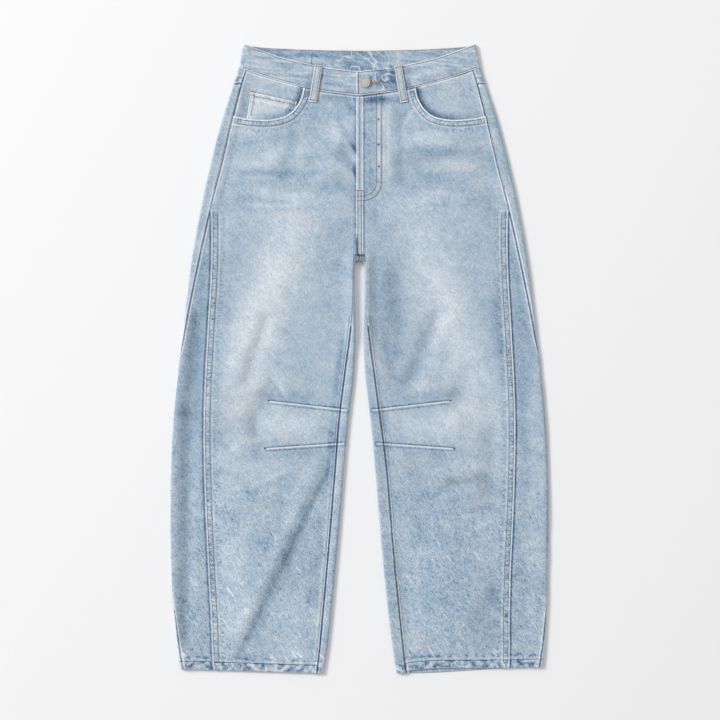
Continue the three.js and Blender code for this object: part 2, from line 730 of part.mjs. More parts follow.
// Back layer points from the side seam round the outer fold to an inner limit
function backOuterPart(side, y) {
  const capEnd = -(FOLD_RADIUS * Math.PI / 2 + BESIDE_FOLD);
  const first = turnFor(sideAt(side, y)) - HALF_GAP;
  const last = Math.min(capEnd, first - LEAST_TURN);
  const turns = [];
  const spaces = 6;
  for (let k = 0; k <= spaces; k += 1) turns.push(mix(first, last, k / spaces));
  return turns.map((turn) => outerTurn(side, y, turn));
}

function underPoint(side, x, y) {
  const under = underAt(side, x, y);
  return { out: [side * x, y, under], in: [side * x, y, under + WALL] };
}

// Back layer columns between the outer fold and the centre seam or the inner fold
function backMiddlePart(side, y, endX, endY, spaces = 2) {
  const outer = outerAt(side, y);
  const xs = [outer - LIFT_FROM_FOLD, outer - LIFT_FULL];
  for (let k = 1; k <= spaces; k += 1) xs.push(mix(xs[1], endX, k / spaces));
    return xs.map((x) => {
    const share = Math.max(0, (xs[1] - x) / (xs[1] - endX));
    return underPoint(side, x, mix(y, endY, share));
  });
}

// Fold between the legs, from the back layer up to the inseam on the front
function backInnerPart(side, row, foldSpaces = 4) {
  const length = Math.hypot(row.seamX - row.foldX, row.seamY - row.foldY) - HALF_GAP;
  const points = [];
  for (let k = 0; k <= foldSpaces; k += 1) {
    points.push(innerTurn(side, row, 0, Math.PI * (k / foldSpaces - 0.5)));
  }
  points.push(innerTurn(side, row, Math.max(length, FOLD_RADIUS + 0.5), 1));
  return points;
}

function legRow(side, y, seamY) {
  const foldX = innerAt(side, seamY);
  return { foldX, foldY: seamY, seamX: foldX + inseamAt(side, seamY), seamY };
}

function backPanel(side, name) {
  const rows = [];
  const innerFlat = FOLD_RADIUS + BESIDE_FOLD;
  for (const { y, centreY } of BACK_TOP_ROWS) {
    const row = backOuterPart(side, y);
    row.push(...backMiddlePart(side, y, HALF_GAP, centreY));
    rows.push(row);
  }
  for (const y of BACK_BODY_LEVELS) {
    const row = backOuterPart(side, y);
    row.push(...backMiddlePart(side, y, HALF_GAP, y));
    rows.push(row);
  }
  const addLeg = (y, crotch) => {
    const length = Math.hypot(crotch.seamX - crotch.foldX, crotch.seamY - crotch.foldY);
    const endX = crotch.foldX + (crotch.seamX - crotch.foldX) * innerFlat / length;
    const endY = crotch.foldY + (crotch.seamY - crotch.foldY) * innerFlat / length;
    const row = backOuterPart(side, y);
    row.push(...backMiddlePart(side, y, endX, endY));
    row.push(...backInnerPart(side, crotch));
    rows.push(row);
  };
  for (const crotch of CROTCH_ROWS) {
    const shifted = crotch.foldX === 0 ? { ...crotch, foldX: HALF_GAP, seamX: HALF_GAP } : crotch;
    addLeg(crotch.outerY, shifted);
  }
  for (const level of legLevels(false)) addLeg(level.y, legRow(side, level.y, level.seamY));
  for (const hemRow of HEM_ROWS) {
    if (hemRow.above === HEM_DEPTH) continue;
    const outerY = hemAt(side, 1, false) + hemRow.above;
    const innerY = hemAt(side, 0, false) + hemRow.above;
    const sag = HEM[side < 0 ? 'right' : 'left'].backMiddle + hemRow.above - mix(outerY, innerY, 0.5);
    addLeg(outerY, legRow(side, outerY, innerY));
    const row = rows[rows.length - 1];
    const from = outerAt(side, outerY);
    const to = innerAt(side, innerY);
    for (const point of row) {
      const across = (side * point.out[0] - to) / (from - to);
      const drop = point.out[2] > FOLD_RADIUS ? 0 : sag * Math.sin(Math.PI * Math.min(1, across)) ** 2;
      point.out[1] += drop;
      point.in[1] += drop;
    }
  }
  return wall(name, rows, DENIM_BACK);
}

// Yoke half: from the waistband down to the yoke seam, round the outer fold
function yokePanel(side, name) {
  const rows = [];
  YOKE_ROWS.forEach((level, k) => {
    const row = backOuterPart(side, level.y);
    row.push(...backMiddlePart(side, level.y, HALF_GAP, level.centreY, YOKE_SPACES));
    if (k === 0) {
      for (const point of row) {
        const x = Math.abs(point.out[0]);
        const onFront = point.out[2] > FOLD_RADIUS;
        const edge = onFront ? BAND_LOW_FRONT : BAND_LOW_BACK;
        const y = curve(edge, 'x', 'y', x) - BAND_GAP;
        point.out[1] = y;
        point.in[1] = y;
      }
    }
    rows.push(row);
  });
  return wall(name, rows, DENIM_BACK);
}

// Facing seen in the pocket scoop, one wall under the front panel
function pocketFacing(side, name) {
  const scoop = scoopPoints(side);
  const rows = FACING_ROWS.map(({ sideY, share }) => {
    const row = [];
    for (let k = 0; k < scoop.length; k += 1) {
      const last = k === scoop.length - 1;
      let x;
      let y;
      if (last) {
        x = outerAt(side, sideY) - sideAt(side, sideY) - HALF_GAP;
        y = sideY;
      } else {
        const normal = scoopNormal(scoop, k);
        const lowX = k === 0 ? FACING_START_X : scoop[k].x + normal.x * FACING_DROP;
        const lowY = k === 0 ? FACING_START_Y : scoop[k].y + normal.y * FACING_DROP;
        const endX = outerAt(side, FACING_TOP_Y) - sideAt(side, FACING_TOP_Y) - HALF_GAP;
        const topX = mix(FACING_START_X, endX, k / (scoop.length - 1));
        const topY = curve(BAND_LOW_FRONT, 'x', 'y', topX) - BAND_GAP;
        x = mix(lowX, topX, share);
        y = mix(lowY, topY, share);
      }
      const z = frontAt(side, x, y) - WALL - SEAM_GAP;
      row.push(layer(side, x, y, z, WALL, 0));
    }
    return row;
  });
  return wall(name, rows, DENIM);
}

// Coin pocket lying on the right facing, its lower edge kept clear of the scoop edge
function coinPocket(name) {
  const side = -1;
  const columns = 5;
  const rows = [0, 0.5, 1].map((share) => {
    const row = [];
    for (let k = 0; k <= columns; k += 1) {
      const t = k / columns;
      const topX = mix(COIN_TOP_OUTER.x, COIN_TOP_INNER.x, t);
      const topY = mix(COIN_TOP_OUTER.y, COIN_TOP_INNER.y, t);
      const lowX = mix(COIN_LOW_OUTER.x, COIN_CORNER.x, t);
      const lowY = straight(scoopPoints(side), 'x', 'y', lowX) + COIN_CLEAR;
      const x = mix(topX, lowX, share);
      const y = mix(topY, Math.min(lowY, topY - COIN_CORNER.least), share);
      const z = frontAt(side, x, y) - WALL + COIN_WALL + COIN_RISE;
      row.push(layer(side, x, y, z, COIN_WALL, 0));
    }
    return row;
  });
  return wall(name, rows, DENIM);
}

// Waistband section: lower and upper point on the front, the back or round a side
function bandPoint(side, part, lowX, angle, raised) {
  const radius = BAND_FOLD_RADIUS;
  const scale = BAND_OUTER_TOP / BAND_OUTER_LOW;
  const lowEdge = part === 'back' ? BAND_LOW_BACK : BAND_LOW_FRONT;
  const topEdge = part === 'back' ? BAND_TOP_BACK : BAND_TOP_FRONT;
  const points = [];
  for (const share of [0, 0.5, 1]) {
    const outer = mix(BAND_OUTER_LOW, BAND_OUTER_TOP, share);
    const centreX = outer - radius;
    let reachX = Math.abs(lowX) * mix(1, scale, share);
    if (part !== 'cap') reachX = Math.min(reachX, centreX);
    const lowY = curve(lowEdge, 'x', 'y', part === 'cap' ? BAND_OUTER_LOW : Math.abs(lowX));
    const topX = part === 'cap' ? BAND_OUTER_TOP : Math.abs(lowX) * scale;
    const topY = curve(topEdge, 'x', 'y', topX);
    const y = mix(lowY, topY, share);
    const crest = share === 0.5 ? BAND_CREST : 0;
    if (part === 'cap') {
      const at = (reach) => [
        side * (centreX + reach * Math.cos(angle)),
        y,
        radius + reach * Math.sin(angle),
      ];
      points.push({ out: at(radius), in: at(radius - BAND_WALL) });
    } else {
      const fromFold = outer - reachX;
      const under = LIFT * ease(LIFT_FROM_FOLD, LIFT_FULL, fromFold);
      const x = lowX < 0 && part === 'front' ? -reachX : reachX;
      if (part === 'back') {
        points.push({ out: [side * x, y, under], in: [side * x, y, under + BAND_WALL] });
      } else {
        const plain = LIFT + 2 * BAND_WALL + LAYER_GAP;
        const z = mix(2 * radius, plain, ease(radius, LIFT_FULL, fromFold)) + raised;
        points.push({ out: [side * x, y, z + crest], in: [side * x, y, z - BAND_WALL] });
      }
    }
  }
  return points;
}

function waistband(name) {
  const rows = [];
  const capStart = BAND_OUTER_LOW - BAND_FOLD_RADIUS;
  const frontX = [25, 50, 75, 100, 125, 150, 175, capStart];
  const backX = [capStart, BAND_OUTER_LOW - LIFT_FROM_FOLD, BAND_OUTER_LOW - LIFT_FULL, 100, 50];
  const capSpaces = 4;
  const over = BAND_WALL + SEAM_GAP;
  const rightFront = [-TAB_END, 0, ...frontX];
  for (const x of rightFront) rows.push(bandPoint(-1, 'front', x, 0, 0));
  for (let k = 1; k < capSpaces; k += 1) {
    rows.push(bandPoint(-1, 'cap', 0, Math.PI * (0.5 - k / capSpaces), 0));
  }
  for (const x of backX) rows.push(bandPoint(-1, 'back', x, 0, 0));
  rows.push(bandPoint(1, 'back', 0, 0, 0));
  for (const x of [...backX].reverse()) rows.push(bandPoint(1, 'back', x, 0, 0));
  for (let k = 1; k < capSpaces; k += 1) {
    rows.push(bandPoint(1, 'cap', 0, Math.PI * (k / capSpaces - 0.5), 0));
  }
  const leftFront = [...frontX.filter((x) => x > OVERLAP_RAMP).reverse(), OVERLAP_RAMP];
  for (const x of leftFront) rows.push(bandPoint(1, 'front', x, 0, 0));
  for (const x of [OVERLAP_FLAT, 12, CENTRE_FRONT + HALF_GAP]) {
    rows.push(bandPoint(1, 'front', x, 0, over));
  }
  return wall(name, rows, DENIM_BAND);
}

// Height of the outside that a front belt loop lies on
function bandTopAt(x, y) {
  const plain = LIFT + 2 * BAND_WALL + LAYER_GAP;
  const side = x < 0 ? -1 : 1;
  const low = curve(BAND_LOW_FRONT, 'x', 'y', Math.abs(x));
  const panel = frontAt(side, Math.abs(x), y);
  return mix(panel, plain + BAND_CREST, ease(low - 3, low - 0.5, y));
}

function frontLoop(loop, name) {
  const length = Math.hypot(loop.lowX - loop.topX, loop.lowY - loop.topY);
  const acrossX = (loop.topY - loop.lowY) / length;
  const acrossY = (loop.lowX - loop.topX) / length;
  const rows = [0, 0.08, 0.3, 0.5, 0.64, 0.72, 0.84, 1].map((share) => {
    const centreX = mix(loop.topX, loop.lowX, share);
    const centreY = mix(loop.topY, loop.lowY, share);
    const bow = LOOP_BOW * Math.sin(Math.PI * Math.min(1, share / 0.8));
    return [-0.5, 0, 0.5].map((across) => {
      const x = centreX + acrossX * across * LOOP_WIDTH;
      const y = centreY + acrossY * across * LOOP_WIDTH;
      const crown = across === 0 ? 0.25 : 0;
      const rest = Math.max(bandTopAt(x, y), bandTopAt(x, y + 4)) + SEAM_GAP + Math.max(0, bow);
      return { out: [x, y, rest + LOOP_WALL + crown], in: [x, y, rest] };
    });
  });
  return wall(name, rows, DENIM_BAND);
}

// Belt loop under the back of the waistband, flat on the surface
function backLoop(centreX, name) {
  const edges = [centreX - LOOP_WIDTH / 2, centreX + LOOP_WIDTH / 2];
  const rows = [BACK_LOOP_TOP, BACK_LOOP_LOW].map((y) => (
    edges.map((x) => ({ out: [x, y, 0], in: [x, y, BACK_LOOP_WALL] }))
  ));
  return wall(name, rows, DENIM_BAND);
}

function backPocket(side, name) {
  const pocket = BACK_POCKET;
  const middle = (pocket.inner + pocket.outer) / 2;
  const plate = (x, y) => ({ out: [side * x, y, 0], in: [side * x, y, pocket.wall] });
  const rows = [
    [plate(pocket.inner, pocket.top), plate(middle, pocket.top), plate(pocket.outer, pocket.top)],
    [plate(pocket.inner, pocket.corner), plate(middle, pocket.tip), plate(pocket.outer, pocket.corner)],
  ];
  return wall(name, rows, DENIM_BACK);
}

function button(name) {
  const base = LIFT + 3 * BAND_WALL + LAYER_GAP + SEAM_GAP + BAND_CREST + SEAM_GAP;
  const { radius, height, rim, sink } = BUTTON;
  const profile = [
    [0, base],
    [radius - rim, base],
    [radius, base + rim],
    [radius, base + height - rim],
    [radius - rim, base + height],
    [radius - 2.2 * rim, base + height - sink],
    [0, base + height - sink / 2],
  ];
  return turned(name, profile, BUTTON.x, BUTTON.y, TURN_STEPS, METAL);
}

function rivet(side, name) {
  let highest = 0;
  for (let k = 0; k < RIVET_STEPS; k += 1) {
    const angle = (2 * Math.PI * k) / RIVET_STEPS;
    const x = RIVET.x + 2 * RIVET.radius * Math.cos(angle);
    const y = RIVET.y + 2 * RIVET.radius * Math.sin(angle);
    highest = Math.max(highest, frontAt(side, x, y));
  }
  const base = highest + SEAM_RAISE + SEAM_GAP;
  const profile = [
    [0, base],
    [RIVET.radius, base],
    [RIVET.radius * 0.86, base + RIVET.height * 0.7],
    [RIVET.radius * 0.4, base + RIVET.height],
    [0, base + RIVET.height * 0.9],
  ];
  return turned(name, profile, side * RIVET.x, RIVET.y, RIVET_STEPS, METAL);
}

const trousers = new THREE.Group();
trousers.name = 'barrel_leg_trousers';
for (const side of [-1, 1]) {
  const word = side < 0 ? 'right' : 'left';
  trousers.add(frontPanel(side, `front_${word}`));
  trousers.add(gorePanel(side, `gore_${word}`));
  trousers.add(backPanel(side, `back_${word}`));
  trousers.add(yokePanel(side, `yoke_${word}`));
  trousers.add(pocketFacing(side, `pocket_facing_${word}`));
  trousers.add(frontLoop(FRONT_LOOPS[word], `belt_loop_front_${word}`));
  trousers.add(backLoop(side * BACK_LOOP_X, `belt_loop_back_${word}`));
  trousers.add(backPocket(side, `back_pocket_${word}`));
  trousers.add(rivet(side, `rivet_${word}`));
}
trousers.add(waistband('waistband'));
trousers.add(backLoop(0, 'belt_loop_back_centre'));
trousers.add(coinPocket('coin_pocket'));
trousers.add(button('button'));

export default trousers;
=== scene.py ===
"""Barrel leg trousers in light denim, laid flat face up.

Tables and shape functions are in millimetres in the frame's axes. Meshes and the lengths in the
property groups are in metres.
X runs towards the wearer's left, Y from hem to waist, Z up off the surface. In the shape
functions x is the distance from the centre line, and side is -1 for the right leg, 1 for the left.
"""

import math

import bmesh
import bpy
import numpy as np
from mathutils import Matrix, Vector


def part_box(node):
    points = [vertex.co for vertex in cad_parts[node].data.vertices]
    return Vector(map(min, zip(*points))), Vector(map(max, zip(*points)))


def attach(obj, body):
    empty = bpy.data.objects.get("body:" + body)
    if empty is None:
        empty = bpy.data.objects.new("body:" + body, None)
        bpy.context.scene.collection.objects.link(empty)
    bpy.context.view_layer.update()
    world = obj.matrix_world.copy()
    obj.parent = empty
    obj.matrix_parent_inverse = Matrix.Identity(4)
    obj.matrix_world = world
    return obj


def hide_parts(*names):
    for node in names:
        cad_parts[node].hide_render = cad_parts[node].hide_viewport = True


bl_info = {
    "name": "Barrel Leg Trousers",
    "version": (1, 0, 0),
    "blender": (4, 5, 0),
    "location": "3D View > Sidebar > Trousers",
    "description": "Builds light denim trousers with barrel legs, laid flat",
    "category": "Add Mesh",
}

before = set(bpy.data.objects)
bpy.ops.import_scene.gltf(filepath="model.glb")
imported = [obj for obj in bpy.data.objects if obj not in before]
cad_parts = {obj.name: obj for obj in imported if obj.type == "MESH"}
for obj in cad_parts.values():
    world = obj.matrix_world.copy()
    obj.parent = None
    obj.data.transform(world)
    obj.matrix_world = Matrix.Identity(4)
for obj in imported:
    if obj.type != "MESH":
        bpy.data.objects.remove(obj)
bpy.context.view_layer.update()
MM = 0.001
SIDES = {"right": -1, "left": 1}


def table(names, *rows):
    """Columns of a short table by name, ordered by the first one."""
    values = np.array(sorted(rows), float)
    return dict(zip(names.split(), values.T))


# Heights of the laid cloth
WALL = 1.2
BAND_WALL = 2.4
LOOP_WALL = 1.6
LAYER_GAP = 0.45
FOLD_RADIUS = 3.1
FOLD_HEIGHT = 2 * FOLD_RADIUS
FRONT_HEIGHT = 4.3
LIFT = 1.5
LIFT_FROM_FOLD = 35
LIFT_FULL = 55
FOLD_FALL = 38
INNER_FOLD_FALL = 24
BAND_RADIUS = 3.6

# Outline: outer fold from the centre line, and the side seam's distance in from it
OUTLINE = table(
    "y outer side",
    (516, 189.5, 12.5), (477, 197.8, 12.6), (450, 206.2, 12.8), (391, 225.5, 17.0),
    (317, 244.8, 18.8), (243, 261.0, 16.0), (158, 275.8, 11.9), (79, 285.6, 5.6),
    (30, 291.2, 2.2), (-27, 298.2, -2.8), (-84, 303.9, -7.0), (-142, 307.8, -10.0),
    (-250, 310.4, -9.0), (-363, 308.4, -2.0), (-437, 304.0, 1.6), (-478, 300.8, 3.6),
    (-516, 296.0, 6.0),
)
# Gore seam: distance in from the outer fold
GORE_SEAM = table(
    "y inset",
    (245, 15.8), (202, 24.6), (158, 31.2), (120, 34.7), (79, 37.0), (30, 39.8), (-27, 43.7),
    (-84, 47.4), (-142, 50.9), (-216, 54.8), (-290, 58.0), (-363, 59.6), (-437, 58.0),
    (-516, 52.2),
)
# Inner edge: fold from the centre line, and the inseam's distance in from it
INNER_EDGE = table(
    "y inner inseam",
    (158, 8.1, 2.4), (120, 8.3, 2.4), (79, 7.7, 4.4), (30, 6.9, 10.2), (-27, 9.6, 15.2),
    (-84, 16.2, 16.0), (-142, 22.4, 16.3), (-216, 28.4, 17.2), (-290, 34.6, 16.9),
    (-363, 41.4, 16.6), (-437, 49.0, 16.0), (-478, 54.1, 15.0), (-516, 60.4, 13.2),
)
BAND_LOW_FRONT = table(
    "x y", (0, 430.4), (60, 437.8), (85, 442.8), (120, 452.0), (160, 463.8), (198, 477.0)
)
BAND_TOP_FRONT = table("x y", (0, 470.6), (55, 477.4), (90, 484.6), (132, 494.8), (190.3, 516.0))
BAND_LOW_BACK = table("x y", (0, 464.2), (100, 466.8), (198, 477.0))
BAND_TOP_BACK = table("x y", (0, 505.2), (100, 507.6), (165, 511.4), (190.3, 516.0))
SCOOP = table(
    "step x y",
    (0, 92.0, 444.4), (1, 96.4, 426.0), (2, 107.0, 408.6), (3, 123.0, 396.8), (4, 150.0, 391.4),
    (5, 178.0, 392.6), (6, 195.0, 395.2), (7, 206.3, 398.0),
)
HEM = {
    "right": {"inner": -516.0, "middle": -513.2, "outer": -509.4, "back": -513.6},
    "left": {"inner": -516.0, "middle": -506.0, "outer": -505.6, "back": -513.0},
}
DARTS = table("knee tip_x tip_y seam_y", (0, 151, -70.5, -84.0), (1, 157, -148.8, -140.6))
# Largest folds, as in the solids: a line, its width and its rise (troughs are below 0)
FOLDS = table(
    "x0 y0 x1 y1 width rise",
    (-112, 424, -172, 416, 42, 1.1), (112, 424, 172, 416, 42, 1.1),
    (-114, 189, -201, -17, 30, 1.3), (-61, -183, -122, -337, 15, -1.1),
    (-122, -337, -162, -436, 15, -1.0), (-150, -60, -180, -104, 13, -0.9),
    (-180, -104, -165, -152, 13, -0.8), (-127, -194, -172, -218, 11, -0.6),
    (-80, -112, -142, -110, 20, 1.0), (-212, -250, -196, -420, 34, 1.2),
    (-120, -420, -96, -480, 24, 1.0), (115, 178, 198, -35, 30, 1.2),
    (55, 132, 66, 14, 14, -1.0), (212, -128, 208, -218, 16, -1.1),
    (84, -112, 150, -110, 20, 1.0), (130, -236, 142, -420, 34, 1.2),
    (218, -392, 200, -436, 12, -0.8),
)
# Smaller creases that only show in the cloth itself
CREASES = table(
    "x0 y0 x1 y1 width rise",
    (-10, 352, -34, 392, 5, -0.5), (-9, 306, -30, 348, 6, -0.6), (-12, 262, -36, 300, 8, -0.4),
    (-20, 392, -70, 300, 14, 0.6), (-150, 330, -60, 350, 10, 0.4), (60, 350, 190, 372, 10, 0.4),
    (-190, 304, -108, 302, 4, -0.25), (-186, 318, -146, 320, 4, 0.25),
    (58, 318, 200, 342, 9, -0.4), (50, 250, 170, 262, 14, 0.4), (-60, 250, -180, 272, 14, 0.4),
    (-104, 384, -128, 298, 9, -0.42), (49, 412, 49, 300, 5, 0.5), (64, 400, 66, 290, 8, -0.4),
    (-230, 160, -215, 60, 10, -0.3),
    (-150, -62, -160, -56, 7, -0.6), (-182, -88, -172, -120, 8, -0.5),
    (-147, -34, -127, -64, 3.5, -0.7),
    (-138, -32, -118, -62, 4, 0.5), (-157, 66, -190, -34, 10, -0.9), (-134, 60, -166, -40, 12, 0.6),
    (-200, -150, -230, -170, 12, 0.5), (-70, -170, -110, -230, 8, 0.4),
    (-112, -182, -176, -212, 5, 0.6),
    (-57, -191, -122, -326, 6, -0.8), (-122, -326, -184, -462, 6, -0.75), (-74, -186, -138, -322, 9, 0.8),
    (-140, -330, -202, -456, 9, 0.8), (-184, -462, -200, -492, 6, -0.6),
    (198, -275, 219, -268, 4, 0.6), (188, -250, 214, -244, 5, -0.5), (150, -60, 162, -54, 8, -0.5),
    (220, -436, 212, -478, 8, -0.4), (90, -180, 112, -240, 10, -0.4), (100, -330, 90, -440, 12, 0.4),
    (-270, 70, -286, -90, 9, -1.0), (-286, -90, -291, -460, 10, -1.0),
    (-268, -110, -272, -460, 9, 0.5), (-238, -300, -242, -380, 9, -0.4),
    (120, 66, 78, -39, 12, -0.8), (142, 60, 104, -46, 13, 0.6), (38, 60, 52, -30, 8, -0.5),
    (150, -205, 206, -196, 9, -0.7), (120, -226, 150, -205, 9, -0.6), (209, -347, 232, -412, 8, -0.45),
    (180, -20, 150, -66, 14, -0.4), (240, -60, 232, -130, 12, 0.5), (222, 110, 230, 10, 9, -0.4),
)
# Wash and painted shade: soft patches, paler above 0 and bluer below it, with their half widths and lean
# in degrees
WASH_AND_SHADE = table(
    "x y across along lean tone",
    (-160, 80, 40, 140, 19, 0.68), (132, 96, 46, 120, -20, 0.50), (-96, 150, 30, 80, 6, 0.18),
    (-185, -80, 40, 60, 10, 0.45), (-120, -112, 46, 26, 0, 0.40), (180, -90, 46, 60, 0, 0.50),
    (110, -112, 46, 26, 0, 0.30), (-170, -182, 44, 20, 0, 0.45), (188, -178, 38, 26, 0, 0.40),
    (-110, 245, 46, 50, -12, 0.22), (105, 240, 40, 50, 12, 0.22),
    (-45, 367, 14, 11, 0, 0.35), (-150, 320, 30, 16, -8, 0.12), (-215, 322, 40, 9, -14, 0.35),
    (-188, 350, 44, 8, -8, -0.35), (-160, 292, 60, 9, -8, -0.35), (-200, 372, 34, 7, 4, 0.2),
    (-42, 341, 8, 34, -48, -0.40), (-116, 340, 9, 46, 16, -0.26), (-72, 395, 9, 16, -20, -0.45),
    (-90, 300, 20, 9, -30, -0.3), (-60, 268, 26, 8, -20, -0.25), (-190, 262, 40, 8, -12, -0.3),
    (95, 365, 36, 8, 4, 0.30), (116, 342, 44, 6, 0, -0.45),
    (150, 378, 52, 6, 0, -0.35), (150, 314, 50, 8, 0, 0.30), (126, 292, 44, 8, 0, -0.40),
    (196, 330, 18, 12, 0, -0.10), (170, 262, 46, 9, 0, -0.3), (90, 268, 26, 9, 0, -0.25),
    (-215, -330, 26, 150, 3, 0.12), (-212, -258, 17, 34, 0, -0.45), (-190, -435, 12, 30, 24, 0.22),
    (-116, -316, 8, 140, 25, -0.22), (-150, -270, 16, 22, 0, 0.2), (-100, -420, 20, 50, 10, 0.1),
    (120, -262, 48, 46, 0, -0.32), (150, -400, 40, 60, 0, -0.22), (215, -380, 12, 44, 14, -0.12),
    (80, -330, 14, 120, -8, 0.22), (170, -330, 18, 30, 0, 0.2), (110, -460, 40, 16, 0, 0.2),
    (-232, -60, 12, 110, 2, -0.25), (238, -40, 12, 120, -2, -0.2), (226, 60, 8, 60, -4, -0.35),
    (-40, 150, 22, 70, 0, -0.15), (52, 112, 24, 64, -6, -0.50), (46, 10, 16, 46, -14, -0.35),
    # These three lines of rows, along the inner edges of the legs, are painted shade
    (-32, -20, 7, 60, 8, -0.8), (-41, -130, 9, 40, 6, -0.9), (-48, -190, 10, 26, 10, -0.7),
    (-66, -270, 9, 16, 10, -0.5), (-72, -330, 8, 12, 10, -0.5), (-80, -390, 8, 14, 10, -0.5),
    (34, -100, 8, 26, -6, -0.7), (41, -160, 9, 30, -8, -0.8), (60, -230, 9, 14, -10, -0.4),
    (-130, -350, 80, 130, 0, -0.22), (140, -360, 80, 130, 0, -0.32), (290, -200, 18, 180, 0, 0.30),
    (-9.5, 346, 2.6, 8, -35, -1.5), (-8.0, 306, 2.6, 10, -15, -1.5),
    (-8, 328, 3, 8, 0, 0.5), (-16, 412, 6, 15, -20, -0.9),
    (-175, 319, 30, 4.5, 6, 0.38), (-76, 329, 20, 6, 0, -0.42), (-41, 314, 20, 11, 0, 0.34),
    (-152, 305, 46, 4.5, 2, -0.28), (-150, 294, 42, 4.5, 4, 0.32), (-70, 304, 20, 4.5, 0, -0.38),
    (-138, 257, 34, 3.2, 5, -0.40), (-166, 250, 16, 4, 8, 0.34), (-108, 245, 84, 3.6, 0, -0.32),
    (-88, 282, 40, 8, 0, -0.26), (-110, 268, 56, 4, 3, 0.26), (-120, 235, 70, 4.5, 0, 0.20),
    (133, 354, 20, 7, 0, 0.30), (122, 336, 44, 3.6, 0, -0.34), (157, 322, 30, 4, 5, 0.26),
    (140, 304, 50, 3.6, -4, -0.24), (175, 350, 26, 4, -4, 0.24), (110, 280, 50, 3.6, 3, -0.30),
    (140, 271, 44, 4, 4, 0.26), (120, 252, 60, 3.6, 0, -0.28), (218, 318, 8, 22, -8, -0.45),
    (-38, 427, 30, 6, 0, -0.8), (18, 423, 14, 8, 0, -1.3), (38, 425, 18, 7, 0, -1.3),
    (20, 408, 8, 2.5, 0, -0.9), (23, 396, 3, 3, 0, -0.8), (20, 388, 7, 2.2, 0, -0.8),
    (-26, 400, 12, 34, 14, -0.25), (46, 350, 4, 60, 0, 0.34), (64, 345, 7, 60, -3, -0.20),
    (58, 350, 6, 46, -3, 0.30), (84, 402, 5, 26, 32, 0.35), (74, 398, 4, 24, 30, -0.40),
    (17, 340, 8, 66, 0, -0.40), (32, 345, 3.6, 72, 0, 0.55), (20, 300, 9, 18, 0, -0.4),
    (14, 276, 12, 12, 20, -0.4), (40, 262, 14, 14, 20, -0.35), (24, 240, 9, 12, 0, -0.4),
    # The next four rows are painted shadow beside the front belt loops
    (-85, 448, 3.5, 26, 10, -0.9), (-54, 452, 6, 20, 10, -0.6), (56, 455, 5, 22, -10, -0.9),
    (82, 448, 3.5, 24, -10, -0.8), (-120, -64, 50, 8, 3, -0.30), (120, -64, 50, 8, -3, -0.30),
    (-116, -156, 56, 7, -3, -0.35), (116, -158, 56, 7, 3, -0.30),
)

CROTCH_Y = 168.15
CROTCH_FOLD_Y = 158.3
CROTCH_CORNER = 9.4
CENTRE_FRONT = 5.35
BODY_LINE = 366
HEM_END = -516
HEM_DEPTH = 14.4
HEM_FROM = -430
GORE_TOP = 245
INSEAM_BAND = 5.6
STEP = 1.4
# Stitch lines: distance in from the edge of the cloth, and on the waistband the share of its depth
GORE_STITCH = (4.1, 11.6)
SCOOP_STITCH = (3.7, 10.4)
INSEAM_STITCH = 3.4
HEM_STITCH = 13.2
BAND_STITCH = (0.06, 0.945)
FLY_BAND = 6.4
FLY_WIDTH = 36.5
FLY_TURN_Y = 289
FLY_END_Y = 259
FLY_DOTS = ((31.2, 392), (31.2, 351), (32.0, 315))
YOKE_SIDE_Y = 450
YOKE_CENTRE_Y = 396
YOKE_DEPTH = 27
LEG_WIDTH = 240
BAND_LOW_X, BAND_LOW_Y = 197.8, 477.0
BAND_TOP_X, BAND_TOP_Y = 190.3, 516.0
SCOOP_END_X, SCOOP_END_Y = 206.3, 398.0
TAB_END = 26
OVERLAP_FLAT = 29
OVERLAP_RAMP = 47
LOOPS = table(
    "side top_x top_y low_x low_y",
    (-1, -66.8, 480.6, -76.8, 419.8), (1, 62.8, 479.6, 73.5, 419.6),
)
LOOP_WIDTH = 13.0
BACK_LOOPS = {"right": -105, "left": 105, "centre": 0}
BACK_LOOP_SPAN = (446, 506)
BACK_POCKET = {"inner": 38, "outer": 176, "top": 350, "corner": 214, "tip": 196}
COIN = table("end top_x top_y low_x", (0, 181.2, 440.4, 187.5), (1, 101.0, 422.6, 103.2))
COIN_WIDTH = 80
BUTTON = {"x": 8.7, "y": 452.0, "radius": 8.75, "height": 4.0, "base": 10.05}
RIVET = {"x": 203.0, "y": 391.6, "radius": 3.5, "height": 1.3}
BUTTONHOLE = {"eye": (19.8, 451.6), "end": (34.0, 453.4)}
# Half sections of the round metal parts, as shares of the radius and of the height
BUTTON_SECTION = (
    (0, 0), (0.62, 0), (0.66, 0.35), (0.92, 0.42), (0.985, 0.5), (1, 0.70), (0.995, 0.86),
    (0.97, 0.96), (0.93, 1), (0.80, 0.98), (0.76, 0.78), (0.66, 0.78), (0.62, 0.95), (0, 0.95),
)
RIVET_SECTION = (
    (0, 0), (1, 0), (1, 0.3), (0.9, 0.62), (0.7, 0.8), (0.5, 0.82), (0.38, 0.74), (0.30, 0.25),
    (0, 0.2),
)


def smooth(rows, column, at):
    """A smooth curve through the rows of a table, for the named column."""
    x, y = rows[next(iter(rows))], rows[column]
    place = np.arange(len(x))
    low, high = np.maximum(place - 1, 0), np.minimum(place + 1, len(x) - 1)
    slope = (y[high] - y[low]) / (x[high] - x[low])
    at = np.clip(at, x[0], x[-1])
    k = np.clip(np.searchsorted(x, at, side="right") - 1, 0, len(x) - 2)
    span = x[k + 1] - x[k]
    t = (at - x[k]) / span
    return (
        (2 * t**3 - 3 * t**2 + 1) * y[k]
        + (t**3 - 2 * t**2 + t) * span * slope[k]
        + (3 * t**2 - 2 * t**3) * y[k + 1]
        + (t**3 - t**2) * span * slope[k + 1]
    )


# A distance from a seam that is too far to matter
FAR = 60.0


def mix(a, b, t):
    return a + (b - a) * t


